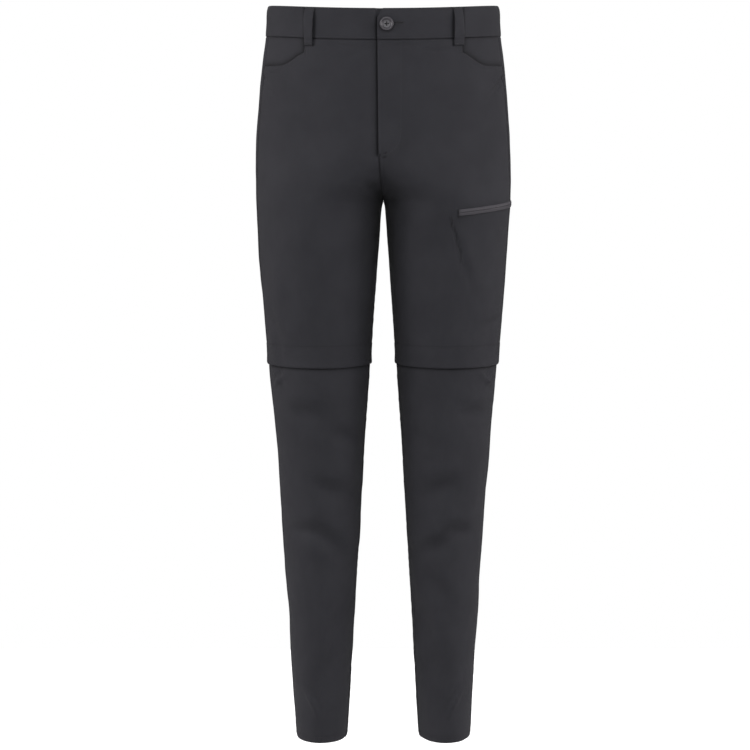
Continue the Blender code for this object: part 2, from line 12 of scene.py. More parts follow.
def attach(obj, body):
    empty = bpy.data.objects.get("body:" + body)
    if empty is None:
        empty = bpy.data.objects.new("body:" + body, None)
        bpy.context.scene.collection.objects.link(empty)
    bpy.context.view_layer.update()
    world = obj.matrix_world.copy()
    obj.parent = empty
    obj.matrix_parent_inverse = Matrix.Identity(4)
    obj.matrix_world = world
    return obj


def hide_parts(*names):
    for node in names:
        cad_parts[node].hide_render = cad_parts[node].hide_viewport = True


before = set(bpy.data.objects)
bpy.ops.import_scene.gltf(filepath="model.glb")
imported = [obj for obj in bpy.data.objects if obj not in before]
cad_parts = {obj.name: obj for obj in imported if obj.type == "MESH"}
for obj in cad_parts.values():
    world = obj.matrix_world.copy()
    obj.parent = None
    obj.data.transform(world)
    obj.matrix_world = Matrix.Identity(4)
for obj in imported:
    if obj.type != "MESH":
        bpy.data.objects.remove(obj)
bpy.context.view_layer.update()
print("frame loaded:", len(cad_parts), "nodes")

# body shape: how far a leg's outer and inner side, the front and the back stand out at each height
outlineColumns = ("z", "outer", "inner", "front", "back")
outlineRows = [
    (0.0240, 0.1612, 0.00005, 0.0980, 0.1040),
    (-0.0200, 0.1621, 0.00005, 0.1010, 0.1080),
    (-0.0500, 0.1662, 0.00005, 0.1030, 0.1150),
    (-0.0930, 0.1710, 0.00005, 0.1065, 0.1260),
    (-0.1550, 0.1753, 0.00005, 0.1090, 0.1370),
    (-0.2000, 0.1767, 0.00005, 0.1080, 0.1370),
    (-0.2450, 0.1767, 0.00005, 0.1045, 0.1280),
    (-0.2530, 0.1765, 0.0020, 0.1038, 0.1253),
    (-0.2650, 0.1760, 0.0034, 0.1026, 0.1211),
    (-0.2800, 0.1753, 0.0048, 0.1010, 0.1160),
    (-0.3640, 0.1697, 0.0108, 0.0950, 0.1000),
    (-0.4480, 0.1624, 0.0165, 0.0870, 0.0900),
    (-0.4720, 0.1613, 0.0172, 0.0850, 0.0875),
    (-0.4900, 0.1602, 0.0179, 0.0835, 0.0860),
    (-0.5750, 0.1524, 0.0238, 0.0760, 0.0800),
    (-0.7030, 0.1437, 0.0314, 0.0665, 0.0750),
    (-0.8320, 0.1353, 0.0391, 0.0600, 0.0700),
    (-0.9620, 0.1279, 0.0468, 0.0555, 0.0650),
    (-1.0100, 0.1252, 0.0498, 0.0540, 0.0640),
]
body = {
    "crotchZ": -0.2450,
    "forkHeight": 0.100,                         # the halves part from the torso's oval over this height
    "forkFullness": 1.65,
    "sideSeamTurn": 0.21,                        # the side seams lie this far round to the front
    "halfGap": 0.00005,
    "wall": 0.0011,
    "flapHemZ": -0.4715,
    "legStep": 0.0020,                           # the legs lie this far inside the shorts
    "legTopZ": -0.4635,
    "hemZ": -1.0035,
    "broadCell": 0.055, "broadDepth": 0.0010,    # gentle unevenness of worn cloth
    "fineCell": 0.017, "fineDepth": 0.00024,
    "foldFade": 0.22, "seamHold": 0.014,         # folds and unevenness end at the side and at inner seams
    "bandCalm": (-0.09, -0.02),                  # the waistband holds the cloth flat above these heights
    "zipCalm": {"z": -0.25, "height": 0.020, "from": (0.08, 0.10)},       # and so does the thigh zip
    "roundScale": 0.09,                          # metres of cloth for one radian of turn, for the unevenness
    "seamTurn": 0.0004,                          # half the gap at a side seam or an inner seam, as a turn
    "slopeStep": 0.002,
    "seeds": {"left": 11, "right": 29},
}


def smoothTable(rows, columns):
    # a fine table through the rows, on the same smooth curve as the solids
    rows = sorted(rows)
    z = np.array([row[0] for row in rows])
    fine = np.linspace(z[0], z[-1], 4000)
    table = {"z": fine}
    spot = np.clip(np.searchsorted(z, fine, side="right") - 1, 0, len(z) - 2)
    span = z[spot + 1] - z[spot]
    t = (fine - z[spot]) / span
    for index, column in enumerate(columns[1:], 1):
        value = np.array([row[index] for row in rows])
        before = np.maximum(np.arange(len(z)) - 1, 0)
        after = np.minimum(np.arange(len(z)) + 1, len(z) - 1)
        slope = (value[after] - value[before]) / (z[after] - z[before])
        table[column] = ((2 * t**3 - 3 * t**2 + 1) * value[spot] + (t**3 - 2 * t**2 + t) * span * slope[spot]
                         + (3 * t**2 - 2 * t**3) * value[spot + 1] + (t**3 - t**2) * span * slope[spot + 1])
    return table


outline = smoothTable(outlineRows, outlineColumns)


def ease(value, start, end):
    share = np.clip((value - start) / (end - start), 0.0, 1.0)
    return share * share * (3 - 2 * share)


def bell(value, width):
    return np.exp(-(value / width) ** 2)


def halfOval(z):
    # centre, half width, front and back depth of the oval that one half follows
    outer, inner, front, back = (np.interp(z, outline["z"], outline[name])
                                 for name in ("outer", "inner", "front", "back"))
    centre = (outer + np.maximum(inner, body["halfGap"])) / 2
    rise = np.clip((z - body["crotchZ"]) / body["forkHeight"], 0.0, 1.0)
    centre = centre * (1 - rise) ** 2 * (1 + body["forkFullness"] * rise)
    return centre, outer - centre, front, back


def lastTurn(z):
    centre, half, _, _ = halfOval(z)
    return np.arccos(np.clip((body["halfGap"] - centre) / half, -1.0, 1.0))


def turnAt(z, x):
    # turn round the front at which the cloth is x from the middle; x is negative past it
    centre, half, _, _ = halfOval(z)
    turn = np.arccos(np.clip((np.maximum(np.abs(x), body["halfGap"]) - centre) / half, -1.0, 1.0))
    return np.where(np.asarray(x) > 0, turn, 2 * lastTurn(z) - turn)


# folds: place, direction in degrees from level, length, breadth, depth (below 0 a ridge) and bend
foldColumns = ("side", "face", "x", "z", "angle", "length", "breadth", "depth", "bend")
folds = [
    # lower legs
    ("right", "front", 0.109, -0.536, 10, 0.050, 0.013, 0.0035, 0),
    ("right", "front", 0.052, -0.569, 35, 0.040, 0.012, 0.0039, 0),
    ("right", "front", 0.070, -0.645, 20, 0.062, 0.014, 0.0051, 2),
    ("right", "front", 0.118, -0.702, 4, 0.036, 0.010, 0.0039, 0),
    ("right", "front", 0.080, -0.712, 34, 0.085, 0.014, 0.0057, -3),
    ("right", "front", 0.062, -0.835, -82, 0.085, 0.013, 0.0043, 0),
    ("right", "front", 0.071, -0.889, -60, 0.040, 0.012, 0.0030, 0),
    ("right", "front", 0.101, -0.943, 62, 0.040, 0.0045, -0.0037, -4),
    ("left", "front", 0.130, -0.536, -8, 0.045, 0.012, 0.0030, 0),
    ("left", "front", 0.046, -0.566, -50, 0.040, 0.012, 0.0032, 0),
    ("left", "front", 0.079, -0.640, 25, 0.055, 0.014, 0.0043, -2),
    ("left", "front", 0.078, -0.722, 29, 0.075, 0.014, 0.0057, 3),
    ("left", "front", 0.112, -0.703, -6, 0.045, 0.011, 0.0039, 3),
    ("left", "front", 0.070, -0.775, -55, 0.060, 0.012, 0.0032, 0),
    ("left", "front", 0.056, -0.838, -75, 0.075, 0.013, 0.0041, 0),
    ("left", "front", 0.067, -0.889, 70, 0.040, 0.012, 0.0030, 0),
    ("left", "front", 0.101, -0.945, 62, 0.038, 0.0045, -0.0037, -4),
    # beside the flap over the knee zip
    ("right", "front", 0.150, -0.484, 66, 0.026, 0.0030, -0.0036, 0),
    ("right", "front", 0.146, -0.492, -50, 0.022, 0.0030, -0.0030, 0),
    ("left", "front", 0.150, -0.484, 66, 0.026, 0.0030, -0.0036, 0),
    ("left", "front", 0.145, -0.491, -50, 0.024, 0.0030, -0.0032, 0),
    ("right", "front", 0.152, -0.440, 80, 0.050, 0.0050, -0.0022, 0),
    ("left", "front", 0.153, -0.436, 78, 0.052, 0.0055, -0.0023, 0),
    # thighs
    ("right", "front", 0.146, -0.360, 84, 0.060, 0.010, -0.0023, 0),
    ("right", "front", 0.150, -0.414, 60, 0.040, 0.006, 0.0021, 0),
    ("left", "front", 0.152, -0.410, 24, 0.030, 0.005, 0.0019, 0),
    ("left", "front", 0.106, -0.318, -72, 0.070, 0.006, 0.0012, 0),
    # crotch and fly
    ("right", "front", 0.017, -0.224, 24, 0.026, 0.007, 0.0015, 0),
    ("left", "front", 0.0140, -0.2470, 60, 0.016, 0.0045, 0.0012, 0),
    ("right", "front", 0.036, -0.044, -20, 0.050, 0.006, 0.0008, 0),
    ("left", "front", 0.022, -0.168, 80, 0.040, 0.007, 0.0008, 0),
    # drawn in below the waist seam
    ("left", "front", 0.038, -0.0335, 2, 0.060, 0.0028, 0.0007, 0),
    ("left", "front", 0.064, -0.0400, -5, 0.050, 0.0030, 0.0006, 0),
    ("right", "front", 0.060, -0.0350, 4, 0.050, 0.0028, 0.0006, 0),
    # below the hand pockets
    ("right", "front", 0.152, -0.066, -10, 0.026, 0.0030, -0.0013, 0),
    ("right", "front", 0.163, -0.078, 48, 0.022, 0.0035, 0.0024, 0),
    ("right", "front", 0.160, -0.090, 48, 0.022, 0.0035, 0.0020, 0),
    ("left", "front", 0.163, -0.078, 48, 0.026, 0.0035, 0.0026, 0),
    ("left", "front", 0.158, -0.088, 48, 0.028, 0.0035, 0.0026, 0),
    # back
    ("right", "back", 0.085, -0.520, 8, 0.110, 0.014, 0.0032, 1),
    ("left", "back", 0.085, -0.530, -10, 0.110, 0.014, 0.0032, -1),
    ("right", "back", 0.092, -0.548, -12, 0.090, 0.012, 0.0022, 1),
    ("left", "back", 0.080, -0.556, 9, 0.095, 0.012, 0.0025, 1),
    ("right", "back", 0.080, -0.285, 22, 0.120, 0.015, 0.0035, 2),
    ("left", "back", 0.080, -0.290, 20, 0.120, 0.015, 0.0035, 2),
    ("right", "back", 0.072, -0.318, 26, 0.090, 0.012, 0.0022, 2),
    ("left", "back", 0.070, -0.325, 24, 0.085, 0.012, 0.0022, 2),
    ("right", "back", 0.085, -0.760, -30, 0.080, 0.014, 0.0028, 0),
    ("left", "back", 0.085, -0.770, 26, 0.080, 0.014, 0.0028, 0),
    ("right", "back", 0.070, -0.880, 70, 0.080, 0.012, 0.0020, 0),
    ("left", "back", 0.074, -0.870, -66, 0.080, 0.012, 0.0020, 0),
]


def foldDepth(side, face, x, z):
    # a fold is a trough with a softer ridge above it
    depth = np.zeros(np.broadcast(x, z).shape)
    for row in folds:
        fold = dict(zip(foldColumns, row))
        if fold["side"] != side or fold["face"] != face:
            continue
        angle = math.radians(fold["angle"])
        along = (x - fold["x"]) * math.cos(angle) + (z - fold["z"]) * math.sin(angle)
        across = (z - fold["z"]) * math.cos(angle) - (x - fold["x"]) * math.sin(angle)
        across = (across - fold["bend"] * along**2) / fold["breadth"]
        shape = bell(across, 1.0) - 0.45 * bell(across - 1.7, 1.1)
        depth += fold["depth"] * shape * bell(2 * along, fold["length"])
    return depth


def unevenness(seed, u, v, cell):
    # smooth random heights from -1 to 1 on a grid of cells, the same on every run
    lattice = np.random.default_rng(seed).uniform(-1, 1, (256, 256))
    x, y = u / cell + 64, v / cell + 128
    i, j = np.floor(x).astype(int), np.floor(y).astype(int)
    fx, fy = x - i, y - j
    fx, fy = fx * fx * (3 - 2 * fx), fy * fy * (3 - 2 * fy)
    corner = [lattice[(i + a) % 256, (j + b) % 256] for a in (0, 1) for b in (0, 1)]
    return ((corner[0] * (1 - fy) + corner[1] * fy) * (1 - fx) + (corner[2] * (1 - fy) + corner[3] * fy) * fx)


def skin(side, z, turn, lift=0.0):
    # points of the cloth's outer face, lifted outwards, and the outward directions
    z, turn, lift = np.broadcast_arrays(np.asarray(z, float), np.asarray(turn, float), np.asarray(lift, float))
    end = lastTurn(z)
    past, passed = turn > end + 1e-7, turn < -end - 1e-7
    seen = np.where(past, 2 * end - turn, np.where(passed, -2 * end - turn, turn))
    centre, half, front, back = halfOval(z)
    inFront = seen > 0
    depth = np.where(inFront, front, back)
    x = centre + half * np.cos(seen)
    y = -depth * np.sin(seen)
    step = body["slopeStep"]
    above, below = halfOval(z + step), halfOval(z - step)
    centreSlope, halfSlope = ((above[i] - below[i]) / (2 * step) for i in (0, 1))
    depthSlope = np.where(inFront, above[2] - below[2], above[3] - below[3]) / (2 * step)
    away = x - centre
    outward = np.stack([away / half**2, y / depth**2,
                        -away * centreSlope / half**2 - away**2 * halfSlope / half**3
                        - y**2 * depthSlope / depth**3], axis=-1)
    outward /= np.linalg.norm(outward, axis=-1, keepdims=True)
    held = ease((end - np.abs(seen)) * 0.1, 0.0, body["seamHold"])
    sink = np.where(inFront, foldDepth(side, "front", x, z), foldDepth(side, "back", x, z))
    sink = sink * ease(np.abs(seen), 0.0, body["foldFade"]) * held
    calm = held * (1 - ease(z, *body["bandCalm"]))
    if side == "left":
        zipCalm = body["zipCalm"]
        calm = calm * (1 - bell(z - zipCalm["z"], zipCalm["height"]) * ease(x, *zipCalm["from"]))
    around = seen * body["roundScale"]
    for more, kind in enumerate(("broad", "fine")):
        heights = unevenness(body["seeds"][side] + more, around, z, body[kind + "Cell"])
        sink = sink - calm * body[kind + "Depth"] * heights
    point = np.stack([x, y, z], axis=-1) + outward * (lift - sink)[..., None]
    sign = np.where(past | passed, -1.0, 1.0) * (1.0 if side == "left" else -1.0)
    point[..., 0] *= sign
    outward[..., 0] *= sign
    return point, outward


def ownX(z, turn):
    # distance from the middle towards the own side, negative past the middle
    return skin("left", z, turn)[0][..., 0]


print("shape ready:", len(folds), "folds")


# materials
def nodeMaterial(name):
    material = bpy.data.materials.new(name)
    material.use_nodes = True
    nodes, links = material.node_tree.nodes, material.node_tree.links
    return material, nodes, links, nodes["Principled BSDF"]


def addNode(nodes, kind, **values):
    node = nodes.new(kind)
    for name, value in values.items():
        if hasattr(node, name):
            setattr(node, name, value)
        else:
            node.inputs[name].default_value = value
    return node


def setSockets(node, values):
    for name, value in values.items():
        node.inputs[name].default_value = value


def mixColours(nodes, links, factor, first, second):
    mix = addNode(nodes, "ShaderNodeMix", data_type="RGBA")
    links.new(factor, mix.inputs["Factor"])
    for socket, value in ((6, first), (7, second)):
        if isinstance(value, tuple):
            mix.inputs[socket].default_value = (*value, 1)
        else:
            links.new(value, mix.inputs[socket])
    return mix.outputs[2]


def ranged(nodes, links, source, low, high, fromLow=0.0, fromHigh=1.0):
    node = addNode(nodes, "ShaderNodeMapRange")
    setSockets(node, {"From Min": fromLow, "From Max": fromHigh, "To Min": low, "To Max": high})
    links.new(source, node.inputs["Value"])
    return node.outputs[0]


nylonLook = {
    "dark": (0.0270, 0.0270, 0.0315), "light": (0.0325, 0.0325, 0.0375), "threadTone": (0.050, 0.050, 0.057),
    # the darkest tone below is the colour of the painted shade
    "threadShare": 0.30, "paintedShadeTone": (0.0030, 0.0030, 0.0035),
    "thread": 0.00075,               # width of two threads of the weave
    "ripScale": 900.0, "mottleScale": 24.0,
    "roughness": 0.74, "crumple": 0.8, "bump": 0.30, "sheen": 0.05, "sheenRoughness": 0.45,
    "specular": 0.20,
}
tapeLook = dict(nylonLook, dark=(0.066, 0.063, 0.070), light=(0.080, 0.076, 0.084), threadTone=(0.120, 0.114, 0.125),
                thread=0.0009)


def wovenCloth(name, look):
    # plain weave on the piece's own UV map, in metres, with a little mottling and painted shade from the mesh's
    # attribute
    material, nodes, links, shader = nodeMaterial(name)
    uv = addNode(nodes, "ShaderNodeUVMap", uv_map="cloth")
    apart = addNode(nodes, "ShaderNodeSeparateXYZ")
    links.new(uv.outputs[0], apart.inputs[0])
    weave = addNode(nodes, "ShaderNodeMath", operation="MULTIPLY")
    for entry, axis in enumerate("XY"):
        scale = addNode(nodes, "ShaderNodeMath", operation="MULTIPLY")
        scale.inputs[1].default_value = 2 * math.pi / look["thread"]
        wave = addNode(nodes, "ShaderNodeMath", operation="SINE")
        links.new(apart.outputs[axis], scale.inputs[0])
        links.new(scale.outputs[0], wave.inputs[0])
        links.new(wave.outputs[0], weave.inputs[entry])
    place = addNode(nodes, "ShaderNodeTexCoord")
    fine = addNode(nodes, "ShaderNodeTexNoise", Scale=look["ripScale"], Detail=3.0, Roughness=0.6)
    broad = addNode(nodes, "ShaderNodeTexNoise", Scale=look["mottleScale"], Detail=4.0, Roughness=0.55)
    for noise in (fine, broad):
        links.new(place.outputs["Object"], noise.inputs["Vector"])
    tone = ranged(nodes, links, broad.outputs["Fac"], 0.0, 1.0, 0.35, 0.65)
    base = mixColours(nodes, links, tone, look["dark"], look["light"])
    threads = ranged(nodes, links, weave.outputs[0], 0.0, look["threadShare"], -1.0, 1.0)
    woven = mixColours(nodes, links, threads, base, look["threadTone"])
    paintedShade = addNode(nodes, "ShaderNodeAttribute", attribute_name="paintedShade")        # painted shade in seams, beside laps and loops and in the crotch, where shade falls
    links.new(mixColours(nodes, links, paintedShade.outputs["Fac"], woven, look["paintedShadeTone"]), shader.inputs["Base Color"])
    links.new(ranged(nodes, links, fine.outputs["Fac"], look["roughness"] - 0.06, look["roughness"] + 0.06),
              shader.inputs["Roughness"])
    heights = addNode(nodes, "ShaderNodeMath", operation="MULTIPLY_ADD")
    heights.inputs[1].default_value = look["crumple"]
    links.new(fine.outputs["Fac"], heights.inputs[0])
    links.new(weave.outputs[0], heights.inputs[2])
    bump = addNode(nodes, "ShaderNodeBump", Strength=look["bump"], Distance=look["thread"] * 0.4)
    links.new(heights.outputs[0], bump.inputs["Height"])
    links.new(bump.outputs[0], shader.inputs["Normal"])
    setSockets(shader, {"Sheen Weight": look["sheen"], "Sheen Roughness": look["sheenRoughness"],
                        "Specular IOR Level": look["specular"]})
    return material


def speckled(name, dark, light, scale, roughness, bumpStrength=0.2, metallic=0.0):
    # moulded, painted or spun finish with fine specks and slight unevenness
    material, nodes, links, shader = nodeMaterial(name)
    place = addNode(nodes, "ShaderNodeTexCoord")
    specks = addNode(nodes, "ShaderNodeTexNoise", Scale=scale, Detail=3.0)
    links.new(place.outputs["Object"], specks.inputs["Vector"])
    links.new(mixColours(nodes, links, specks.outputs["Fac"], dark, light), shader.inputs["Base Color"])
    links.new(ranged(nodes, links, specks.outputs["Fac"], roughness - 0.08, roughness + 0.08),
              shader.inputs["Roughness"])
    bump = addNode(nodes, "ShaderNodeBump", Strength=bumpStrength, Distance=0.0002)
    links.new(specks.outputs["Fac"], bump.inputs["Height"])
    links.new(bump.outputs[0], shader.inputs["Normal"])
    shader.inputs["Metallic"].default_value = metallic
    return material


clothMaterial = wovenCloth("charcoalNylon", nylonLook)
tapeMaterial = wovenCloth("zipTape", tapeLook)
threadMaterial = speckled("sewingThread", (0.025, 0.025, 0.028), (0.037, 0.037, 0.042), 2500.0, 0.62, 0.3)
# near-black thread, also used as painted shade in the buttonhole's slit
darkThreadAndSlitShadeMaterial = speckled("blackThreadAndSlitShade", (0.007, 0.007, 0.008), (0.013, 0.013, 0.015), 2500.0, 0.70, 0.3)
buttonMaterial = speckled("buttonResin", (0.048, 0.045, 0.051), (0.075, 0.070, 0.078), 420.0, 0.40, 0.12)
coilMaterial = speckled("zipCoil", (0.062, 0.059, 0.066), (0.082, 0.078, 0.086), 900.0, 0.45, 0.1)
# near-black painted shade for the gap along the middle of the thigh zip
grooveShadeMaterial = speckled("zipGrooveShade", (0.012, 0.012, 0.013), (0.018, 0.018, 0.020), 900.0, 0.6, 0.1)
metalMaterial = speckled("paintedZinc", (0.034, 0.034, 0.036), (0.055, 0.055, 0.058), 600.0, 0.38, 0.15, 0.75)
print("materials ready")


# making meshes
def linked(name, mesh, material):
    mesh.materials.append(material)
    thing = bpy.data.objects.new(name, mesh)
    bpy.context.scene.collection.objects.link(thing)
    return thing


def gridMesh(name, points, uv, flip, material, closed=False, paintedShade=None):
    # a mesh through a grid of points, rows from top to bottom, with an optional painted shade value for each point
    rows, columns = points.shape[:2]
    index = np.arange(rows * columns).reshape(rows, columns)
    after = np.roll(index, -1, axis=1) if closed else index[:, 1:]
    start = index if closed else index[:, :-1]
    faces = np.stack([start[:-1], after[:-1], after[1:], start[1:]], axis=-1).reshape(-1, 4)
    if flip:
        faces = faces[:, ::-1]
    mesh = bpy.data.meshes.new(name)
    mesh.from_pydata(points.reshape(-1, 3).tolist(), [], faces.tolist())
    layer = mesh.uv_layers.new(name="cloth")
    layer.data.foreach_set("uv", uv.reshape(-1, 2)[faces.reshape(-1)].astype(np.float32).reshape(-1))
    if paintedShade is not None:
        mesh.attributes.new("paintedShade", "FLOAT", "POINT").data.foreach_set("value", paintedShade.ravel().astype(np.float32))
    mesh.shade_smooth()
    return linked(name, mesh, material)


def giveWall(thing, thickness):
    solidify = thing.modifiers.new("wall", "SOLIDIFY")
    solidify.thickness = thickness
    solidify.offset = -1.0
    return thing


def arcAlong(points, axis):
    step = np.linalg.norm(np.diff(points, axis=axis), axis=-1)
    first = np.zeros_like(np.take(step, [0], axis=axis))
    return np.concatenate([first, np.cumsum(step, axis=axis)], axis=axis)


def spaced(length, pitch, edges):
    # even steps along a length, as shares, closer together near both ends
    near = [share / length for share in edges]
    count = max(int((length - 2 * edges[-1]) / pitch), 2)
    middle = np.linspace(near[-1], 1 - near[-1], count + 1)
    return np.concatenate([near[:-1], middle, [1 - share for share in near[:-1]][::-1]])


sewnEdge = {
    "steps": (0.0, 0.0004, 0.0009, 0.0015, 0.0022, 0.0034),
    "rollDepth": 0.0011, "rollWidth": 0.0010,      # the cloth turns down beside a seam
    "puckerDepth": 0.00032, "puckerCell": 0.0055, "puckerReach": 0.007,
    "under": 0.0040, "underDrop": 0.0013,          # hidden seam allowance below the neighbour
    "topDrop": 0.0022,                             # and below the waistband
    "underGap": 0.00015, "underShare": 0.85,       # how far out and down its first row starts
    "standing": 0.0055, "standingStart": 0.0005,   # above the crotch it stands inwards instead
    "standingReach": (0.050, 0.068),
    "meetWidth": 0.0050,                           # above the crotch the cloth stays beside the middle here
    "hemThick": 0.0003, "hemDraw": 0.0004,
    "felledWidth": 0.0165, "felledStep": 0.0012, "felledHeight": 0.0007, "felledTop": (-0.290, -0.260),
    "crotchCalm": (0.001, 0.014),                  # the roll starts this far from the crotch
}


def tuckUnder(points, uv, outward, axis, atEnd, amount, drop, standing=0.0):
    # adds two rows or columns past an edge, that go under the neighbouring piece, or where standing is 1
    # turn straight into the inside, edge to edge with the other half's
    points, uv, outward = (np.moveaxis(grid, axis, 0) for grid in (points, uv, outward))
    if atEnd:
        points, uv, outward = points[::-1], uv[::-1], outward[::-1]
    away = points[0] - points[3]
    away /= np.linalg.norm(away, axis=-1, keepdims=True)
    amount = np.maximum(np.broadcast_to(amount, away.shape[:1]), 0.0003)[:, None]
    down = outward[0] * (drop * np.clip(amount / sewnEdge["under"], 0.1, 1.0))
    near = points[0] + away * sewnEdge["underGap"] - down * sewnEdge["underShare"]
    far = points[0] + away * amount - down
    inward = -outward[0] * (0.0, 1.0, 1.0)
    inward /= np.maximum(np.linalg.norm(inward, axis=-1, keepdims=True), 1e-9)
    share = np.broadcast_to(standing, away.shape[:1])[:, None]
    near = near + (points[0] + inward * sewnEdge["standingStart"] - near) * share
    far = far + (points[0] + inward * sewnEdge["standing"] - far) * share
    uvAway = (uv[0] - uv[1]) / np.maximum(np.linalg.norm(uv[0] - uv[1], axis=-1, keepdims=True), 1e-9)
    points = np.concatenate([far[None], near[None], points])
    uv = np.concatenate([(uv[0] + uvAway * (amount + 0.001))[None], (uv[0] + uvAway * 0.001)[None], uv])
    outward = np.concatenate([outward[:1], outward[:1], outward])
    if atEnd:
        points, uv, outward = points[::-1], uv[::-1], outward[::-1]
    return tuple(np.moveaxis(grid, 0, axis) for grid in (points, uv, outward))


def standingAt(zs):
    above = zs - body["crotchZ"]
    return (1 - ease(above, *sewnEdge["standingReach"])) * (above > 0.0002)


surfaces = {}


def distanceTo(line, x, z):
    best = np.full(x.shape, 9.0)
    for (x0, z0), (x1, z1) in zip(line, line[1:]):
        dx, dz = x1 - x0, z1 - z0
        share = np.clip(((x - x0) * dx + (z - z0) * dz) / (dx * dx + dz * dz), 0, 1)
        best = np.minimum(best, np.hypot(x - x0 - share * dx, z - z0 - share * dz))
    return best


def paintedShadeAt(name, side, points):
    # how much painted shade a point gets, standing in for the shade of a seam, a lap, a loop or the crotch
    x, y, z = points[..., 0] * (1 if side == "left" else -1), points[..., 1], points[..., 2]
    light = np.ones(x.shape)
    for pieces, sides, face, line, breadth, strength in paintedShadeStrokes:
        if side in sides and name.startswith(pieces):
            near = strength * bell(distanceTo(line, -y if face == "side" else x, z), breadth)
            seen = x > 0.1 if face == "side" else (y < 0) == (face == "front")
            light = light * (1 - np.where(seen, near, 0))
    return 1 - light


def surfaceOf(thing):
    return BVHTree.FromPolygons([v.co for v in thing.data.vertices], [p.vertices for p in thing.data.polygons])


def clothPiece(name, side, turns, zs, lift, node, flip=False, wall=None, rolls=(1, 1, 0, 0), seed=3,
               felled=(), under=()):
    # a panel on the skin; rolls says how sewn the first and last column and the top and bottom row are
    flat = skin(side, zs, turns)[0]
    across, down = arcAlong(flat, 1), arcAlong(flat, 0)
    distances = (across, across[:, -1:] - across, down, down[-1:] - down)
    total = lift + np.zeros_like(zs)
    apart = ease(np.abs(zs - body["crotchZ"]), *sewnEdge["crotchCalm"])    # four panels meet edge to edge there
    for which, (kind, distance, along) in enumerate(zip(rolls, distances, (down, down, across, across))):
        if kind:
            kind = kind * apart if which == 1 else kind
            total = total - sewnEdge["rollDepth"] * kind * bell(distance, sewnEdge["rollWidth"])
            gathers = unevenness(seed, along, distance * 0.4, sewnEdge["puckerCell"])
            total = total + kind * sewnEdge["puckerDepth"] * gathers * bell(distance, sewnEdge["puckerReach"])
    for which in felled:                          # a felled seam's second layer beside an edge
        edge = sewnEdge["felledWidth"]
        layer = 1 - ease(distances[which], edge, edge + sewnEdge["felledStep"])
        total = total + sewnEdge["felledHeight"] * (layer * (1 - ease(zs, *sewnEdge["felledTop"])))
    points, outward = skin(side, zs, turns, total)
    # above the crotch a rolled edge stays beside the middle, so that the halves meet
    near = bell(distances[1], sewnEdge["meetWidth"]) * (zs > body["crotchZ"]) * (rolls[1] > 0)
    points[..., 0] += (flat[..., 0] - points[..., 0]) * near
    uv = np.stack([across, -zs], axis=-1)
    for edge in under:
        points, uv, outward = tuckUnder(points, uv, outward, *edge)
    # the piece's colour is darkened by painted shade where shade falls on it
    thing = gridMesh(name, points, uv, flip != (side == "right"), clothMaterial, paintedShade=paintedShadeAt(name, side, points))
    surfaces[name] = surfaceOf(thing)
    giveWall(thing, wall or body["wall"])
    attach(thing, "root")
    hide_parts(node)
    return thing


# waistband
waistband = {
    "topZ": 0.0222, "seamZ": -0.0198, "dip": 0.0064, "wall": 0.0020, "pitch": 0.0017,
    "endX": -0.0085, "cornerX": -0.0010, "cornerDrop": 0.0130, "underlapX": 0.0260,
    "tuckStart": 0.0116, "tuckEnd": 0.0089,      # the right half steps down under the left one here
    "slopeStart": 0.0340, "slopeDepth": 0.0004,
    "length": 0.43, "rightLength": 0.452, "stepColumns": (0.0080, 0.0086, 0.0091, 0.0096, 0.0101, 0.0108),
    "edgeRows": (0, 0.0003, 0.0008, 0.0015, 0.0022), "middleRows": 16,
    "topRound": 0.0009, "topRoundWidth": 0.0006, "lowRound": 0.0007, "lowRoundWidth": 0.0008,
    "topStitch": 0.0024, "lowStitch": 0.0022, "stitchDent": 0.00022, "stitchWidth": 0.0008,
    "sag": 0.00035, "sagWaves": 9.0, "sagStart": 1.3, "sagBelow": 0.020, "sagWidth": 0.012,
    "roll": [(0.0, -0.0030), (0.0015, -0.0021), (0.0040, -0.0012), (0.0090, -0.0002), (0.0160, 0.0004),
             (0.0417, 0.0005)],
    "cut": {"left": (0.433, 0.0445, 0.0186), "right": (0.451, 0.0445, 0.0194)},
}


def frontDip(z, turn):
    # how much lower the band lies here than at the sides
    front = halfOval(z)[2]
    return waistband["dip"] * (np.minimum(-front * np.sin(turn), 0.0) / 0.1) ** 2


def waistSeam(turn):
    return waistband["seamZ"] - frontDip(waistband["seamZ"], turn)


def rightTuck(x, wall):
    # how far the right half lies below the skin, to pass under the left one
    step = (wall + 0.0009) * (1 - ease(x, waistband["tuckEnd"], waistband["tuckStart"]))
    return step + waistband["slopeDepth"] * (1 - ease(x, waistband["tuckStart"], waistband["slopeStart"]))


def bandLift(belowTop):
    depths, lifts = zip(*waistband["roll"])
    return np.interp(belowTop, depths, lifts)


def bandEndTurn(side, belowTop, height):
    if side == "right":
        return turnAt(height, -waistband["underlapX"])
    cut = 1 - np.clip(belowTop / waistband["cornerDrop"], 0, 1)
    return turnAt(height, waistband["endX"] + cut * (waistband["cornerX"] - waistband["endX"]))


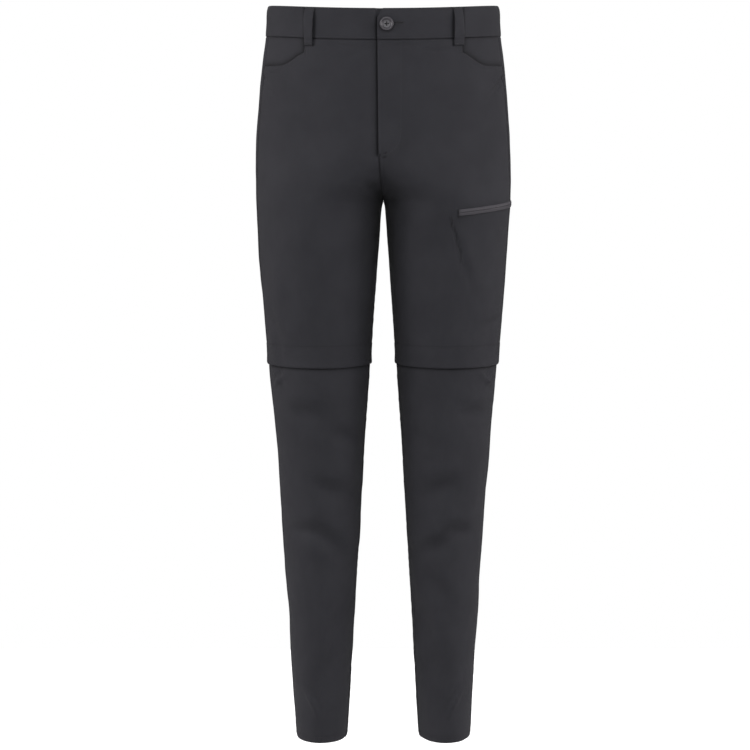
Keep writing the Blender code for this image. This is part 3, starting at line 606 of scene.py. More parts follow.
def makeWaistband(side):
    height = waistband["topZ"] - waistband["seamZ"] - 0.0001
    edge = np.array(waistband["edgeRows"])
    middle = np.linspace(0.003, height - 0.003, waistband["middleRows"])
    belowTop = np.concatenate([edge, middle, height - edge[::-1]])[:, None]
    levels = waistband["topZ"] - belowTop
    shares = spaced(waistband["length"], waistband["pitch"], sewnEdge["steps"])
    if side == "right":                            # more columns at the step under the left half
        step = 1 - (waistband["underlapX"] + np.array(waistband["stepColumns"])) / waistband["rightLength"]
        shares = np.sort(np.concatenate([shares, step]))
    shares = shares[None, :]
    first = -lastTurn(levels)
    turns = first + (bandEndTurn(side, belowTop, levels) - first) * shares
    zs = levels - frontDip(levels, turns)
    lift = bandLift(belowTop) + np.zeros_like(zs)
    lift = lift - waistband["topRound"] * bell(belowTop, waistband["topRoundWidth"])
    lift = lift - waistband["lowRound"] * bell(height - belowTop, waistband["lowRoundWidth"])
    if side == "right":
        lift = lift - rightTuck(ownX(zs, turns), waistband["wall"])
    rows = (bell(belowTop - waistband["topStitch"], waistband["stitchWidth"])
            + bell(belowTop - height + waistband["lowStitch"], waistband["stitchWidth"]))
    lift = lift - waistband["stitchDent"] * rows
    # the middle of the band sinks a little between belt loops
    waves = 1 + np.sin(turns * waistband["sagWaves"] + waistband["sagStart"])
    lift = lift - waistband["sag"] * waves * bell(belowTop - waistband["sagBelow"], waistband["sagWidth"])
    return clothPiece("waistband_fine_" + side, side, turns, zs, lift, "waistband_" + side,
                      wall=waistband["wall"], rolls=(0, 0.4, 0, 0), seed=5)


# shorts
shorts = {
    "pitch": 0.0023, "rowPitch": 0.0026, "blendZ": -0.130,
    "flyEndZ": -0.1780, "partZ": -0.1870, "flyLap": 0.0040,
    "hemFold": 0.0290, "hemStep": 0.0015, "hemDent": 0.0011, "hemFlare": 0.0005, "flareHeight": 0.012,
    "flyRise": (-0.190, -0.178), "flyThick": 0.0004, "flyWidth": 0.014,
    "tuckTop": (-0.196, -0.190), "topTuckZ": -0.031, "sideTuckZ": -0.0615,
    "frontWidth": 0.262, "backWidth": 0.30, "reachX": 0.1672,
    "turnScale": 0.135, "pathMix": (0.55, 0.45),    # how the top edge's columns spread along its path
    "topRows": (0, 0.004, 0.009, 0.015, 0.023, 0.036), "topPitch": 0.025, "topEnd": 0.97,
    "frontCut": (0.281, 0.510, 0.103), "backCut": (0.364, 0.541, 0.133),
}
pocket = {
    "mouth": [(0.1072, -0.0425), (0.1085, -0.0436), (0.1144, -0.0464), (0.1200, -0.0502), (0.1266, -0.0547),
              (0.1335, -0.0583), (0.1405, -0.0602), (0.1700, -0.0606)],
    "facingInnerX": 0.0920, "facingLowZ": -0.0880, "facingPastSeam": 0.06, "behind": 0.0023,
    "behindAtSeam": 0.0014, "stitchInsets": (0.0018, 0.0075), "facingCut": (0.110, 0.072, 0.0076),
}
flyShield = {"edges": (0.0260, -0.0220), "top": 0.0020, "height": 0.148, "behind": 0.0040,
             "cut": (0.049, 0.149, 0.0071)}
centreLine = [(-1.1, 0.0), (-0.2450, 0.0), (-0.2210, -0.0030), (-0.2000, -0.0048), (-0.1770, -0.0065),
              (-0.0275, -0.0081), (0.0300, -0.0085)]


def centreX(z, side):
    # where a front ends at the middle, measured towards its own side
    heights, line = zip(*centreLine)
    x = np.interp(z, heights, line)
    if side == "left":
        return x + body["halfGap"]
    return body["halfGap"] - x - shorts["flyLap"] * ease(z, shorts["partZ"], shorts["flyEndZ"])


def frontTurns(side, z):
    last = np.where(z > body["crotchZ"], turnAt(z, centreX(z, side)), lastTurn(z) - body["seamTurn"])
    return body["sideSeamTurn"] + body["seamTurn"], last


def scoopZ(x):
    xs, zs = zip(*pocket["mouth"])
    return np.interp(x, xs, zs)


def frontTop(side):
    # the top edge's columns: side seam, pocket scoop, up to the waist seam and on to the middle
    cornerX, cornerZ = pocket["mouth"][0]
    shares = spaced(shorts["frontWidth"], shorts["pitch"], sewnEdge["steps"])
    first, last = frontTurns(side, np.float64(cornerZ))
    scoopX = np.linspace(pocket["mouth"][-1][0], cornerX, 60)
    scoopTurn = np.maximum(turnAt(scoopZ(scoopX), np.minimum(scoopX, shorts["reachX"])), first)
    cornerTurn = float(turnAt(cornerZ, cornerX))
    seamTurns = np.linspace(cornerTurn, last, 90)
    seamZs = waistSeam(seamTurns)
    pathTurn = np.concatenate([scoopTurn, np.full(14, cornerTurn), seamTurns])
    pathZ = np.concatenate([scoopZ(scoopX), np.linspace(cornerZ, seamZs[0], 14), seamZs])
    steps = np.hypot(np.diff(shorts["turnScale"] * pathTurn), np.diff(pathZ))
    length = np.concatenate([[0], np.cumsum(steps)])
    byLength, byTurn = shorts["pathMix"]
    mixed = byLength * length / length[-1] + byTurn * (pathTurn - first) / (last - first)
    return shares, np.interp(shares, mixed, pathTurn), np.interp(shares, mixed, pathZ)


def hemLift(above, piece):
    # a hem is folded up, so it is thicker up to its stitched line, which is drawn in
    fold = piece["hemFold"]
    thick = sewnEdge["hemThick"] * (1 - ease(above, fold - 0.0005, fold + piece["hemStep"]))
    return thick - sewnEdge["hemDraw"] * bell(above - fold, piece["hemDent"])


def flapLift(zs):
    # the flap stands out a little at its edge
    above = zs - body["flapHemZ"]
    return hemLift(above, shorts) + shorts["hemFlare"] * (1 - ease(above, 0, shorts["flareHeight"]))


def makeFront(side):
    shares, topTurn, topZ = frontTop(side)
    blend, hem = shorts["blendZ"], body["flapHemZ"]
    upper = spaced(1.0, shorts["topPitch"], shorts["topRows"])
    upper = upper[upper < shorts["topEnd"]]
    lower = blend + (hem - blend) * spaced(blend - hem, shorts["rowPitch"], sewnEdge["steps"])
    lower = np.concatenate([lower[:1], lower[6:]])
    rowsZ, rowsTurn = [], []
    for share in upper:
        z = topZ + (blend - topZ) * share
        first, last = frontTurns(side, z)
        low = first + (last - first) * shares
        top = np.where((shares > 0.999) | (shares < 0.001), low, topTurn)
        rowsZ.append(z)
        rowsTurn.append(top + (low - top) * ease(share, 0.0, 1.0))
    for height in lower:
        z = np.full(len(shares), height)
        first, last = frontTurns(side, z)
        rowsZ.append(z)
        rowsTurn.append(first + (last - first) * shares)
    zs, turns = np.array(rowsZ), np.array(rowsTurn)
    x = ownX(zs, turns)
    lift = flapLift(zs)
    fly = ease(zs, *shorts["flyRise"])
    if side == "right":
        lift = lift - fly * rightTuck(x, body["wall"])
    else:
        lift = lift + fly * shorts["flyThick"] * (1 - ease(x - centreX(zs, "left"), 0.0, shorts["flyWidth"]))
    atTop = sewnEdge["under"] * (topZ > shorts["topTuckZ"]) + 0.0003
    middle, amount = zs[:, -1], 0.0003
    if side == "right":                            # its middle edge goes under the left front below the fly
        amount = sewnEdge["under"] * (1 - ease(middle, *shorts["tuckTop"])) * (middle > body["crotchZ"])
    atTop = np.append(atTop, atTop[-1:].repeat(2))
    under = [(1, True, amount, sewnEdge["underDrop"], standingAt(middle)), (0, False, atTop, sewnEdge["topDrop"])]
    return clothPiece("front_fine_" + side, side, turns, zs, lift, "front_" + side, seed=7,
                      rolls=(1, 1 if side == "right" else 0.5, 0.8, 0.5), felled=(1,), under=under)


def makeBack(side):
    shares = spaced(shorts["backWidth"], shorts["pitch"] + 0.0002, sewnEdge["steps"])[None, :]
    hem, seamZ = body["flapHemZ"], waistband["seamZ"]
    levels = seamZ + (hem - seamZ) * spaced(seamZ - hem, shorts["rowPitch"], sewnEdge["steps"])[:, None]
    first = body["sideSeamTurn"] - body["seamTurn"]
    last = -lastTurn(levels) + np.where(levels > body["crotchZ"], 0, body["seamTurn"])
    turns = first + (last - first) * shares
    zs = levels - frontDip(seamZ, turns) * (1 - ease(seamZ - levels, 0, 0.06))
    rows = zs[:, -1]
    atSide = sewnEdge["under"] * (rows < shorts["sideTuckZ"])
    atMiddle = sewnEdge["under"] * ((rows < body["crotchZ"]) | (side == "left"))
    under = [(1, False, atSide, sewnEdge["underDrop"]), (1, True, atMiddle, sewnEdge["underDrop"], standingAt(rows)),
             (0, False, sewnEdge["under"], sewnEdge["topDrop"])]
    return clothPiece("back_fine_" + side, side, turns, zs, flapLift(zs), "back_" + side,
                      flip=True, seed=9, rolls=(1, 1, 0.8, 0.5), under=under)


def makeFacing(side):
    # the cloth that shows in a hand pocket's mouth
    top = waistband["seamZ"] + 0.0035
    levels = np.linspace(top, pocket["facingLowZ"], 28)[:, None]
    first = body["sideSeamTurn"] - pocket["facingPastSeam"]
    turns = first + (turnAt(levels, pocket["facingInnerX"]) - first) * np.linspace(0, 1, 34)[None, :]
    more = pocket["behind"] - pocket["behindAtSeam"]
    depth = pocket["behindAtSeam"] + more * ease(turns - body["sideSeamTurn"], 0.02, 0.22)
    return clothPiece("pocket_facing_fine_" + side, side, turns, levels - frontDip(top, turns), -depth,
                      "pocket_facing_" + side, rolls=(0, 0, 0, 0))


def makeFlyShield():
    top = float(waistSeam(math.pi / 2)) - flyShield["top"]
    levels = np.linspace(top, top - flyShield["height"], 50)[:, None]
    first, last = (turnAt(levels, x) for x in flyShield["edges"])
    turns = first + (last - first) * np.linspace(0, 1, 18)[None, :]
    return clothPiece("fly_shield_fine", "left", turns, levels + 0 * turns, -flyShield["behind"], "fly_shield",
                      rolls=(0, 0, 0, 0))


# legs that zip off
leg = {"pitch": 0.0027, "rowPitch": 0.0029, "width": 0.21,
       "hemFold": 0.0085, "hemStep": 0.001, "hemDent": 0.0010, "hemTurnIn": 0.0010, "turnInHeight": 0.010,
       "frontCut": (0.230, 0.542, 0.0930), "backCut": (0.271, 0.542, 0.114)}


def makeLeg(side, face):
    shares = spaced(leg["width"], leg["pitch"], sewnEdge["steps"])[None, :]
    top, hem = body["legTopZ"], body["hemZ"]
    levels = top + (hem - top) * spaced(top - hem, leg["rowPitch"], sewnEdge["steps"])[:, None]
    sign = 1.0 if face == "front" else -1.0
    first, last = body["sideSeamTurn"] + sign * body["seamTurn"], sign * (lastTurn(levels) - body["seamTurn"])
    turns = first + (last - first) * shares
    zs = levels + 0 * turns
    above = zs - hem
    lift = hemLift(above, leg) - body["legStep"] - leg["hemTurnIn"] * (1 - ease(above, 0, leg["turnInHeight"]))
    under = [(1, atEnd, sewnEdge["under"], sewnEdge["underDrop"]) for atEnd in (False, True)]
    return clothPiece(f"leg_{face}_fine_{side}", side, turns, zs, lift, f"leg_{face}_{side}",
                      flip=face == "back", rolls=(1, 1, 0, 0.5), seed=13,
                      felled=(1,) if face == "front" else (), under=under if face == "back" else ())


def sideSeamLine(low, high):
    return [(float(centre + half * math.cos(body["sideSeamTurn"])), z) for z in np.linspace(high, low, 12)
            for centre, half in [halfOval(z)[:2]]]


def innerLine(low, high, away=0.0):
    return [(float(np.interp(z, outline["z"], outline["inner"])) + away, z) for z in np.linspace(high, low, 12)]


def seamLine(first, last, below, face="front"):
    xs = np.linspace(first, last, 12)
    turns = turnAt(waistband["seamZ"], xs)
    return [(x, float(z) - below) for x, z in zip(xs, waistSeam(turns if face == "front" else -turns))]


both = ("left", "right")
scoopLine = [(pocket["mouth"][0][0], -0.0235)] + pocket["mouth"]
# painted shade: dark strokes where shade falls in seams, beside laps and loops, below the flap, at the crotch and
# inner thighs
paintedShadeStrokes = [  # pieces, sides, face, line in x and z (in -y and z on the side), breadth, strength
    # fly lap, centre seam and crotch
    (("waistband", "front"), ("right",), "front", [(0.0089, 0.0035), (0.0086, -0.0275), (0.0072, -0.1780)],
     0.0021, 0.74),
    (("waistband", "front"), ("right",), "front", [(0.0100, -0.0100), (0.0096, -0.0275), (0.0082, -0.1780)],
     0.0060, 0.30),
    (("front",), ("right",), "front", [(0.0054, -0.1860), (0.0050, -0.2000), (0.0032, -0.2210), (0.0, -0.2450)],
     0.0018, 0.50),
    (("front",), ("left",), "front", [(-0.0056, -0.1800), (-0.0048, -0.2000), (-0.0030, -0.2210), (0.0, -0.2450)],
     0.0010, 0.40),
    (("front", "back"), ("right",), "front", [(0.0045, -0.2340), (0.0042, -0.2600)], 0.0070, 0.88),
    (("front", "back"), ("left",), "front", [(0.0, -0.2400), (0.0020, -0.2600)], 0.0042, 0.85),
    (("front", "back"), both, "front", innerLine(-0.2930, -0.2480, 0.0014), 0.0060, 0.97),
    (("front", "back"), both, "front", innerLine(-0.3300, -0.2930, 0.0008), 0.0036, 0.85),
    (("front",), both, "front", innerLine(-0.3950, -0.3000, 0.0050), 0.0016, 0.30),
    (("front",), both, "front", innerLine(-0.4700, -0.3850, 0.0035), 0.0070, 0.12),
    (("front",), ("right",), "front", [(0.0125, -0.2215), (0.0185, -0.2240)], 0.0045, 0.25),
    (("front",), ("left",), "front", [(0.0130, -0.2430), (0.0145, -0.2500)], 0.0050, 0.30),
    (("front", "back"), both, "back", innerLine(-0.3300, -0.2400, 0.0020), 0.0080, 0.55),
    (("back",), both, "back", [(0.0, -0.0200), (0.0, -0.2400)], 0.0012, 0.35),
    (("front",), ("left",), "front", [(-0.0062, -0.1806), (0.0040, -0.1778)], 0.0007, 0.60),
    (("front",), ("left",), "front", [(-0.0060, -0.1850), (0.0036, -0.1826)], 0.0007, 0.60),
    # waist seam, on both sides of it
    (("front",), both, "front", seamLine(-0.0080, 0.1072, 0.0003), 0.0012, 0.45),
    (("waistband",), both, "front", seamLine(-0.0080, 0.1630, -0.0003), 0.0009, 0.35),
    (("back",), both, "back", seamLine(0.0, 0.1630, 0.0003, "back"), 0.0012, 0.45),
    (("pocket_facing",), both, "front", seamLine(0.1000, 0.1650, 0.0003), 0.0015, 0.50),
    # pocket mouths
    (("pocket_facing",), both, "front", scoopLine, 0.0048, 0.55),
    (("pocket_facing",), both, "front", scoopLine, 0.0014, 0.50),
    (("front",), both, "front", scoopLine, 0.0008, 0.25),
    # side seams and inseams
    (("front", "leg_front", "back", "leg_back"), both, "front", sideSeamLine(-1.0000, -0.0610), 0.0010, 0.35),
    (("back",), ("left",), "side", [(0.0185, -0.2680), (0.0165, -0.3600), (0.0150, -0.4500)], 0.0040, 0.62),
    (("front", "back"), ("right",), "front", sideSeamLine(-0.3140, -0.2840), 0.0012, 0.80),
    (("leg_front",), both, "front", innerLine(-0.6200, -0.4750, 0.0022), 0.0012, 0.60),
    (("leg_front",), both, "front", innerLine(-0.9900, -0.6200, 0.0020), 0.0009, 0.25),
    # the flap's edge, its stitched fold and the shade below it
    (("leg",), both, "front", [(0.0100, -0.4728), (0.1640, -0.4728)], 0.0021, 0.62),
    (("leg",), both, "back", [(0.0100, -0.4728), (0.1640, -0.4728)], 0.0021, 0.62),
    (("front",), both, "front", [(0.0100, -0.4425), (0.1640, -0.4425)], 0.0010, 0.25),
    (("back",), both, "back", [(0.0100, -0.4425), (0.1640, -0.4425)], 0.0010, 0.25),
    (("leg_front",), both, "front", [(0.0100, -0.9950), (0.1640, -0.9950)], 0.0010, 0.22),
    (("leg_back",), both, "back", [(0.0100, -0.9950), (0.1640, -0.9950)], 0.0010, 0.22),
    # thigh zip and the pocket bag's stitched edge
    (("front", "back"), ("left",), "front", [(0.1000, -0.2640), (0.1200, -0.2610), (0.1450, -0.2573),
                                             (0.1680, -0.2552)], 0.0014, 0.55),
    (("front", "back"), ("left",), "front", [(0.1000, -0.2535), (0.1250, -0.2500), (0.1680, -0.2440)], 0.0009, 0.30),
    (("front",), ("left",), "front", [(0.0905, -0.2640), (0.0925, -0.2760), (0.0985, -0.2870), (0.0990, -0.2990),
                                      (0.1040, -0.3120), (0.1045, -0.3240)], 0.0013, 0.50),
    (("front",), ("left",), "front", [(0.0940, -0.2700), (0.0985, -0.2870), (0.1025, -0.2960), (0.1060, -0.3150)],
     0.0010, 0.30),
    # button and buttonhole
    (("waistband",), ("left",), "front", [(0.0140, -0.0044), (0.0185, -0.0042), (0.0262, -0.0040)], 0.0011, 0.70),
    (("waistband",), ("left",), "front", [(0.0040 + 0.0099 * math.cos(a), -0.0060 + 0.0099 * math.sin(a))
                                          for a in np.linspace(-3.3, 0.2, 14)], 0.0013, 0.50),
]
loopShades = [("left", "front", 0.1010, 0.0066), ("right", "front", 0.1004, 0.0062), ("left", "back", 0.1080, 0.0064),
              ("right", "back", 0.1080, 0.0064), ("left", "back", 0.0, 0.0064), ("right", "back", 0.0, 0.0064)]
for loopSide, loopFace, loopX, half in loopShades:            # painted shade beside and below each belt loop
    top, low = (0.0180, -0.0330) if loopFace == "front" else (0.0215, -0.0300)
    for edge in (-half - 0.0004, half + 0.0004):
        line = [(loopX + edge, top), (loopX + edge, low)]
        paintedShadeStrokes.append((("waistband", "front", "back"), (loopSide,), loopFace, line, 0.0016, 0.72))
    line = [(loopX - half, low - 0.0006), (loopX + half, low - 0.0006)]
    paintedShadeStrokes.append((("front", "back"), (loopSide,), loopFace, line, 0.0014, 0.68))


for side in ("left", "right"):
    makeWaistband(side)
    makeFront(side)
    makeBack(side)
    makeFacing(side)
    makeLeg(side, "front")
    makeLeg(side, "back")
makeFlyShield()


# sewing: one tree lays stitches along paths on the cloth
layFrom, layReach = 0.004, 0.014          # a row is dropped on the cloth from this far outside, at most so deep


def layOn(surface, side, zs, turns, above=0.00002):
    # points on a piece's real surface at the given places, and the outward directions
    points, outward = skin(side, zs, turns, layFrom)
    laid = []
    for point, away in zip(points, outward):
        hit = surfaces[surface].ray_cast(Vector(point), Vector(-away), layReach)[0]
        laid.append(point - away * layFrom if hit is None else np.array(hit) + away * above)
    return np.array(laid), outward


def stitchTree():
    tree = bpy.data.node_groups.new("stitchRow", "GeometryNodeTree")
    sockets = tree.interface
    sockets.new_socket("Path", in_out="INPUT", socket_type="NodeSocketGeometry")
    for label in ("Pitch", "Stitch Length", "Thread Width", "Thread Height", "Across", "Unevenness"):
        sockets.new_socket(label, in_out="INPUT", socket_type="NodeSocketFloat")
    sockets.new_socket("Thread", in_out="INPUT", socket_type="NodeSocketMaterial")
    sockets.new_socket("Geometry", in_out="OUTPUT", socket_type="NodeSocketGeometry")
    nodes, links = tree.nodes, tree.links
    given, result = nodes.new("NodeGroupInput"), nodes.new("NodeGroupOutput")
    curve = nodes.new("GeometryNodeMeshToCurve")
    resample = addNode(nodes, "GeometryNodeResampleCurve", mode="LENGTH")
    tangent = nodes.new("GeometryNodeInputTangent")
    outward = addNode(nodes, "GeometryNodeInputNamedAttribute", data_type="FLOAT_VECTOR", Name="outward")
    sideways = addNode(nodes, "ShaderNodeVectorMath", operation="CROSS_PRODUCT")
    direction = addNode(nodes, "ShaderNodeMix", data_type="VECTOR")              # along the path, or across it
    lengthwise = addNode(nodes, "FunctionNodeAlignRotationToVector", axis="X")
    facing = addNode(nodes, "FunctionNodeAlignRotationToVector", axis="Z", pivot_axis="X")
    size = nodes.new("ShaderNodeCombineXYZ")
    low = addNode(nodes, "ShaderNodeMath", operation="SUBTRACT")
    low.inputs[0].default_value = 1.0
    varied = addNode(nodes, "FunctionNodeRandomValue", Seed=7)
    scaled = addNode(nodes, "ShaderNodeVectorMath", operation="SCALE")
    bean = addNode(nodes, "GeometryNodeMeshUVSphere", Segments=6, Rings=4, Radius=0.5)
    rounded = nodes.new("GeometryNodeSetShadeSmooth")
    copies = nodes.new("GeometryNodeInstanceOnPoints")
    real = nodes.new("GeometryNodeRealizeInstances")
    paint = nodes.new("GeometryNodeSetMaterial")
    for source, output, target, entry in (
            (given, "Path", curve, 0), (curve, 0, resample, "Curve"), (given, "Pitch", resample, "Length"),
            (tangent, 0, sideways, 0), (outward, "Attribute", sideways, 1), (given, "Across", direction, "Factor"),
            (tangent, 0, direction, 4), (sideways, 0, direction, 5), (direction, 1, lengthwise, "Vector"),
            (lengthwise, 0, facing, "Rotation"), (outward, "Attribute", facing, "Vector"),
            (given, "Stitch Length", size, "X"), (given, "Thread Width", size, "Y"),
            (given, "Thread Height", size, "Z"), (given, "Unevenness", low, 1), (low, 0, varied, 2),
            (size, 0, scaled, 0), (varied, 1, scaled, "Scale"), (bean, "Mesh", rounded, "Geometry"),
            (resample, 0, copies, "Points"), (rounded, 0, copies, "Instance"), (facing, 0, copies, "Rotation"),
            (scaled, 0, copies, "Scale"), (copies, 0, real, 0), (real, 0, paint, "Geometry"),
            (given, "Thread", paint, "Material"), (paint, 0, result, 0)):
        links.new(source.outputs[output], target.inputs[entry])
    return tree


rowTree = stitchTree()


def sew(name, paths, look, material):
    # lays the tree's copies along the paths and keeps the result as a plain mesh
    vertices, edges, outwards = [], [], []
    for points, outward in paths:
        start = len(vertices)
        vertices += [tuple(map(float, point)) for point in points]
        outwards += [tuple(map(float, away)) for away in outward]
        edges += [(start + i, start + i + 1) for i in range(len(points) - 1)]
    mesh = bpy.data.meshes.new(name + "_path")
    mesh.from_pydata(vertices, edges, [])
    mesh.attributes.new("outward", "FLOAT_VECTOR", "POINT").data.foreach_set("vector", np.ravel(outwards))
    path = bpy.data.objects.new(name + "_path", mesh)
    bpy.context.scene.collection.objects.link(path)
    modifier = path.modifiers.new("stitches", "NODES")
    modifier.node_group = rowTree
    values = {"Pitch": look["pitch"], "Stitch Length": look["length"], "Thread Width": look["width"],
              "Thread Height": look["height"], "Across": look.get("across", 0.0),
              "Unevenness": look.get("unevenness", 0.08), "Thread": material}
    for socket in rowTree.interface.items_tree:
        if socket.in_out == "INPUT" and socket.name in values:
            modifier[socket.identifier] = values[socket.name]
    sewn = bpy.data.meshes.new_from_object(path.evaluated_get(bpy.context.evaluated_depsgraph_get()))
    bpy.data.objects.remove(path, do_unlink=True)
    sewn.materials.clear()
    thing = linked(name, sewn, material)
    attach(thing, "root")
    return thing


topstitch = {"pitch": 0.0031, "length": 0.0024, "width": 0.00042, "height": 0.00030, "unevenness": 0.12,
             "inset": 0.0019, "felledInset": 0.0152}


def arcTurn(z, distance, face):
    # the turn that a distance along the cloth takes up next to the side or the inner leg
    return distance / halfOval(z)[2 if face == "front" else 3]


def seamRows(side):
    paths = []
    flap = body["flapHemZ"]
    rows = [("front_fine_", "front", -0.0660, flap + 0.001), ("back_fine_", "back", -0.0240, flap + 0.001),
            ("leg_front_fine_", "front", flap - 0.001, body["hemZ"] + 0.001),
            ("leg_back_fine_", "back", flap - 0.001, body["hemZ"] + 0.001)]
    for name, face, top, low in rows:
        sign = 1.0 if face == "front" else -1.0
        zs = np.linspace(top, low, int((top - low) / 0.005))
        paths.append(layOn(name + side, side, zs, body["sideSeamTurn"] + sign * arcTurn(zs, topstitch["inset"], face)))
        inner = zs[zs < body["crotchZ"] - 0.012]
        inset = topstitch["felledInset" if face == "front" else "inset"]
        paths.append(layOn(name + side, side, inner, sign * (lastTurn(inner) - arcTurn(inner, inset, face))))
        if name == "back_fine_":
            middle = zs[zs > body["crotchZ"] + 0.004]
            turns = -lastTurn(middle) + arcTurn(middle, topstitch["inset"] * 0.85, face)
            paths.append(layOn(name + side, side, middle, turns))
    return paths


def levelRows(side):
    paths = []
    flap, seam = body["flapHemZ"], body["sideSeamTurn"]
    for z, pieces in ((flap + shorts["hemFold"], ("front_fine_", "back_fine_")),
                      (body["hemZ"] + leg["hemFold"], ("leg_front_fine_", "leg_back_fine_"))):
        for name, first, last in ((pieces[0], seam + 0.01, math.pi - 0.02), (pieces[1], seam - 0.01, -math.pi + 0.02)):
            turns = np.linspace(first, last, 60)
            paths.append(layOn(name + side, side, z + 0 * turns, turns))
    start = -float(lastTurn(0.0)) + 0.01
    height = waistband["topZ"] - waistband["seamZ"]
    for below, leftX, rightX in ((waistband["topStitch"], 0.003, 0.003),
                                 (height - waistband["lowStitch"], -0.006, 0.0105)):
        at = waistband["topZ"] - below
        turns = np.linspace(start, float(turnAt(at, leftX if side == "left" else rightX)), 150)
        paths.append(layOn("waistband_fine_" + side, side, at - frontDip(at, turns), turns))
    turns = np.linspace(float(turnAt(-0.03, 0.1055)), float(turnAt(-0.03, centreX(-0.03, side) + 0.004)), 60)
    paths.append(layOn("front_fine_" + side, side, waistSeam(turns) - 0.0024, turns))
    turns = np.linspace(start, seam - 0.02, 90)
    paths.append(layOn("back_fine_" + side, side, waistSeam(turns) - 0.0024, turns))
    return paths


def scoopRows(side):
    # beside the pocket's mouth, in from its edge
    paths = []
    cornerX, cornerZ = pocket["mouth"][0]
    for inset in pocket["stitchInsets"]:
        x = np.linspace(0.1620, cornerX + 0.002, 40)
        z = scoopZ(x)
        slope = np.gradient(z, x)
        length = np.hypot(1, slope)
        xs, zs = x + inset * slope / length, z - inset / length
        keep = xs > cornerX - inset
        top = np.linspace(cornerZ - 0.002, -0.029, 8)
        xs, zs = np.concatenate([xs[keep], 0 * top + cornerX - inset]), np.concatenate([zs[keep], top])
        paths.append(layOn("front_fine_" + side, side, zs, turnAt(zs, xs)))
    return paths


flySewing = {"x": 0.0234, "topZ": -0.0300, "bendZ": -0.1500, "endX": -0.0055, "drop": 0.0305}


def flyRows():
    # straight down and round to the centre seam
    bend = np.linspace(0.08, 1.0, 14) * math.pi / 2
    straight = np.linspace(flySewing["topZ"], flySewing["bendZ"], 26)
    across = flySewing["x"] - flySewing["endX"]
    xs = np.concatenate([0 * straight + flySewing["x"], flySewing["endX"] + across * np.cos(bend)])
    zs = np.concatenate([straight, flySewing["bendZ"] - flySewing["drop"] * np.sin(bend)])
    return [layOn("front_fine_left", "left", zs, turnAt(zs, xs))]


bagSewing = {"topZ": -0.264, "lowZ": -0.326, "depths": (0.264, 0.315, 0.347), "xs": (0.0905, 0.1030, 0.112),
             "apart": 0.0028, "wave": 110}


def pocketBagRows():
    # two rows below the thigh zip, the second one wavering
    zs = np.linspace(bagSewing["topZ"], bagSewing["lowZ"], 24)
    paths = []
    for shift in (0.0, bagSewing["apart"]):
        waver = shift * np.cos((zs - bagSewing["topZ"]) * bagSewing["wave"])
        xs = np.interp(-zs, bagSewing["depths"], bagSewing["xs"]) + waver
        paths.append(layOn("front_fine_left", "left", zs, turnAt(zs, xs)))
    return paths


for side in ("left", "right"):
    sew("seam_stitches_" + side, seamRows(side), topstitch, threadMaterial)
    sew("level_stitches_" + side, levelRows(side) + scoopRows(side), topstitch, threadMaterial)
sew("fly_stitches", flyRows(), topstitch, threadMaterial)
sew("pocket_bag_stitches", pocketBagRows(), topstitch, threadMaterial)
print("topstitching ready")


# belt loops
beltLoop = {
    "wall": 0.0011, "lowZ": -0.0300, "topDrop": 0.0006, "rows": 46, "columns": 16,
    "edgeRound": 0.0004, "roundFrom": 0.42, "stitchDent": 0.00018, "stitchAt": 0.37, "stitchWidth": 0.0006,
    "endDrop": (0.0005, 0.0004), "endWidth": 0.012, "pucker": 0.00025, "puckerCell": 0.006,
    "bow": [(0, .0005), (.05, .0005), (.16, .0015), (.32, .0028), (.5, .0032), (.68, .0028), (.84, .0015),
            (.94, .0006), (1, .0005)],
    "carrierEnd": [(0.0440, 0.0)],
    "places": [  # node, side, face, x, width at the top and at the bottom
        ("belt_loop_front_left", "left", "front", 0.1010, 0.0118, 0.0134),
        ("belt_loop_front_right", "right", "front", 0.1004, 0.0126, 0.0106),
        ("belt_loop_back_left", "left", "back", 0.1080, 0.0126, 0.0124),
        ("belt_loop_back_right", "right", "back", 0.1080, 0.0124, 0.0126),
        ("belt_loop_back_centre", "left", "back", 0.0, 0.0126, 0.0126),
    ],
    "cut": (0.0128, 0.056, 0.00070),
}


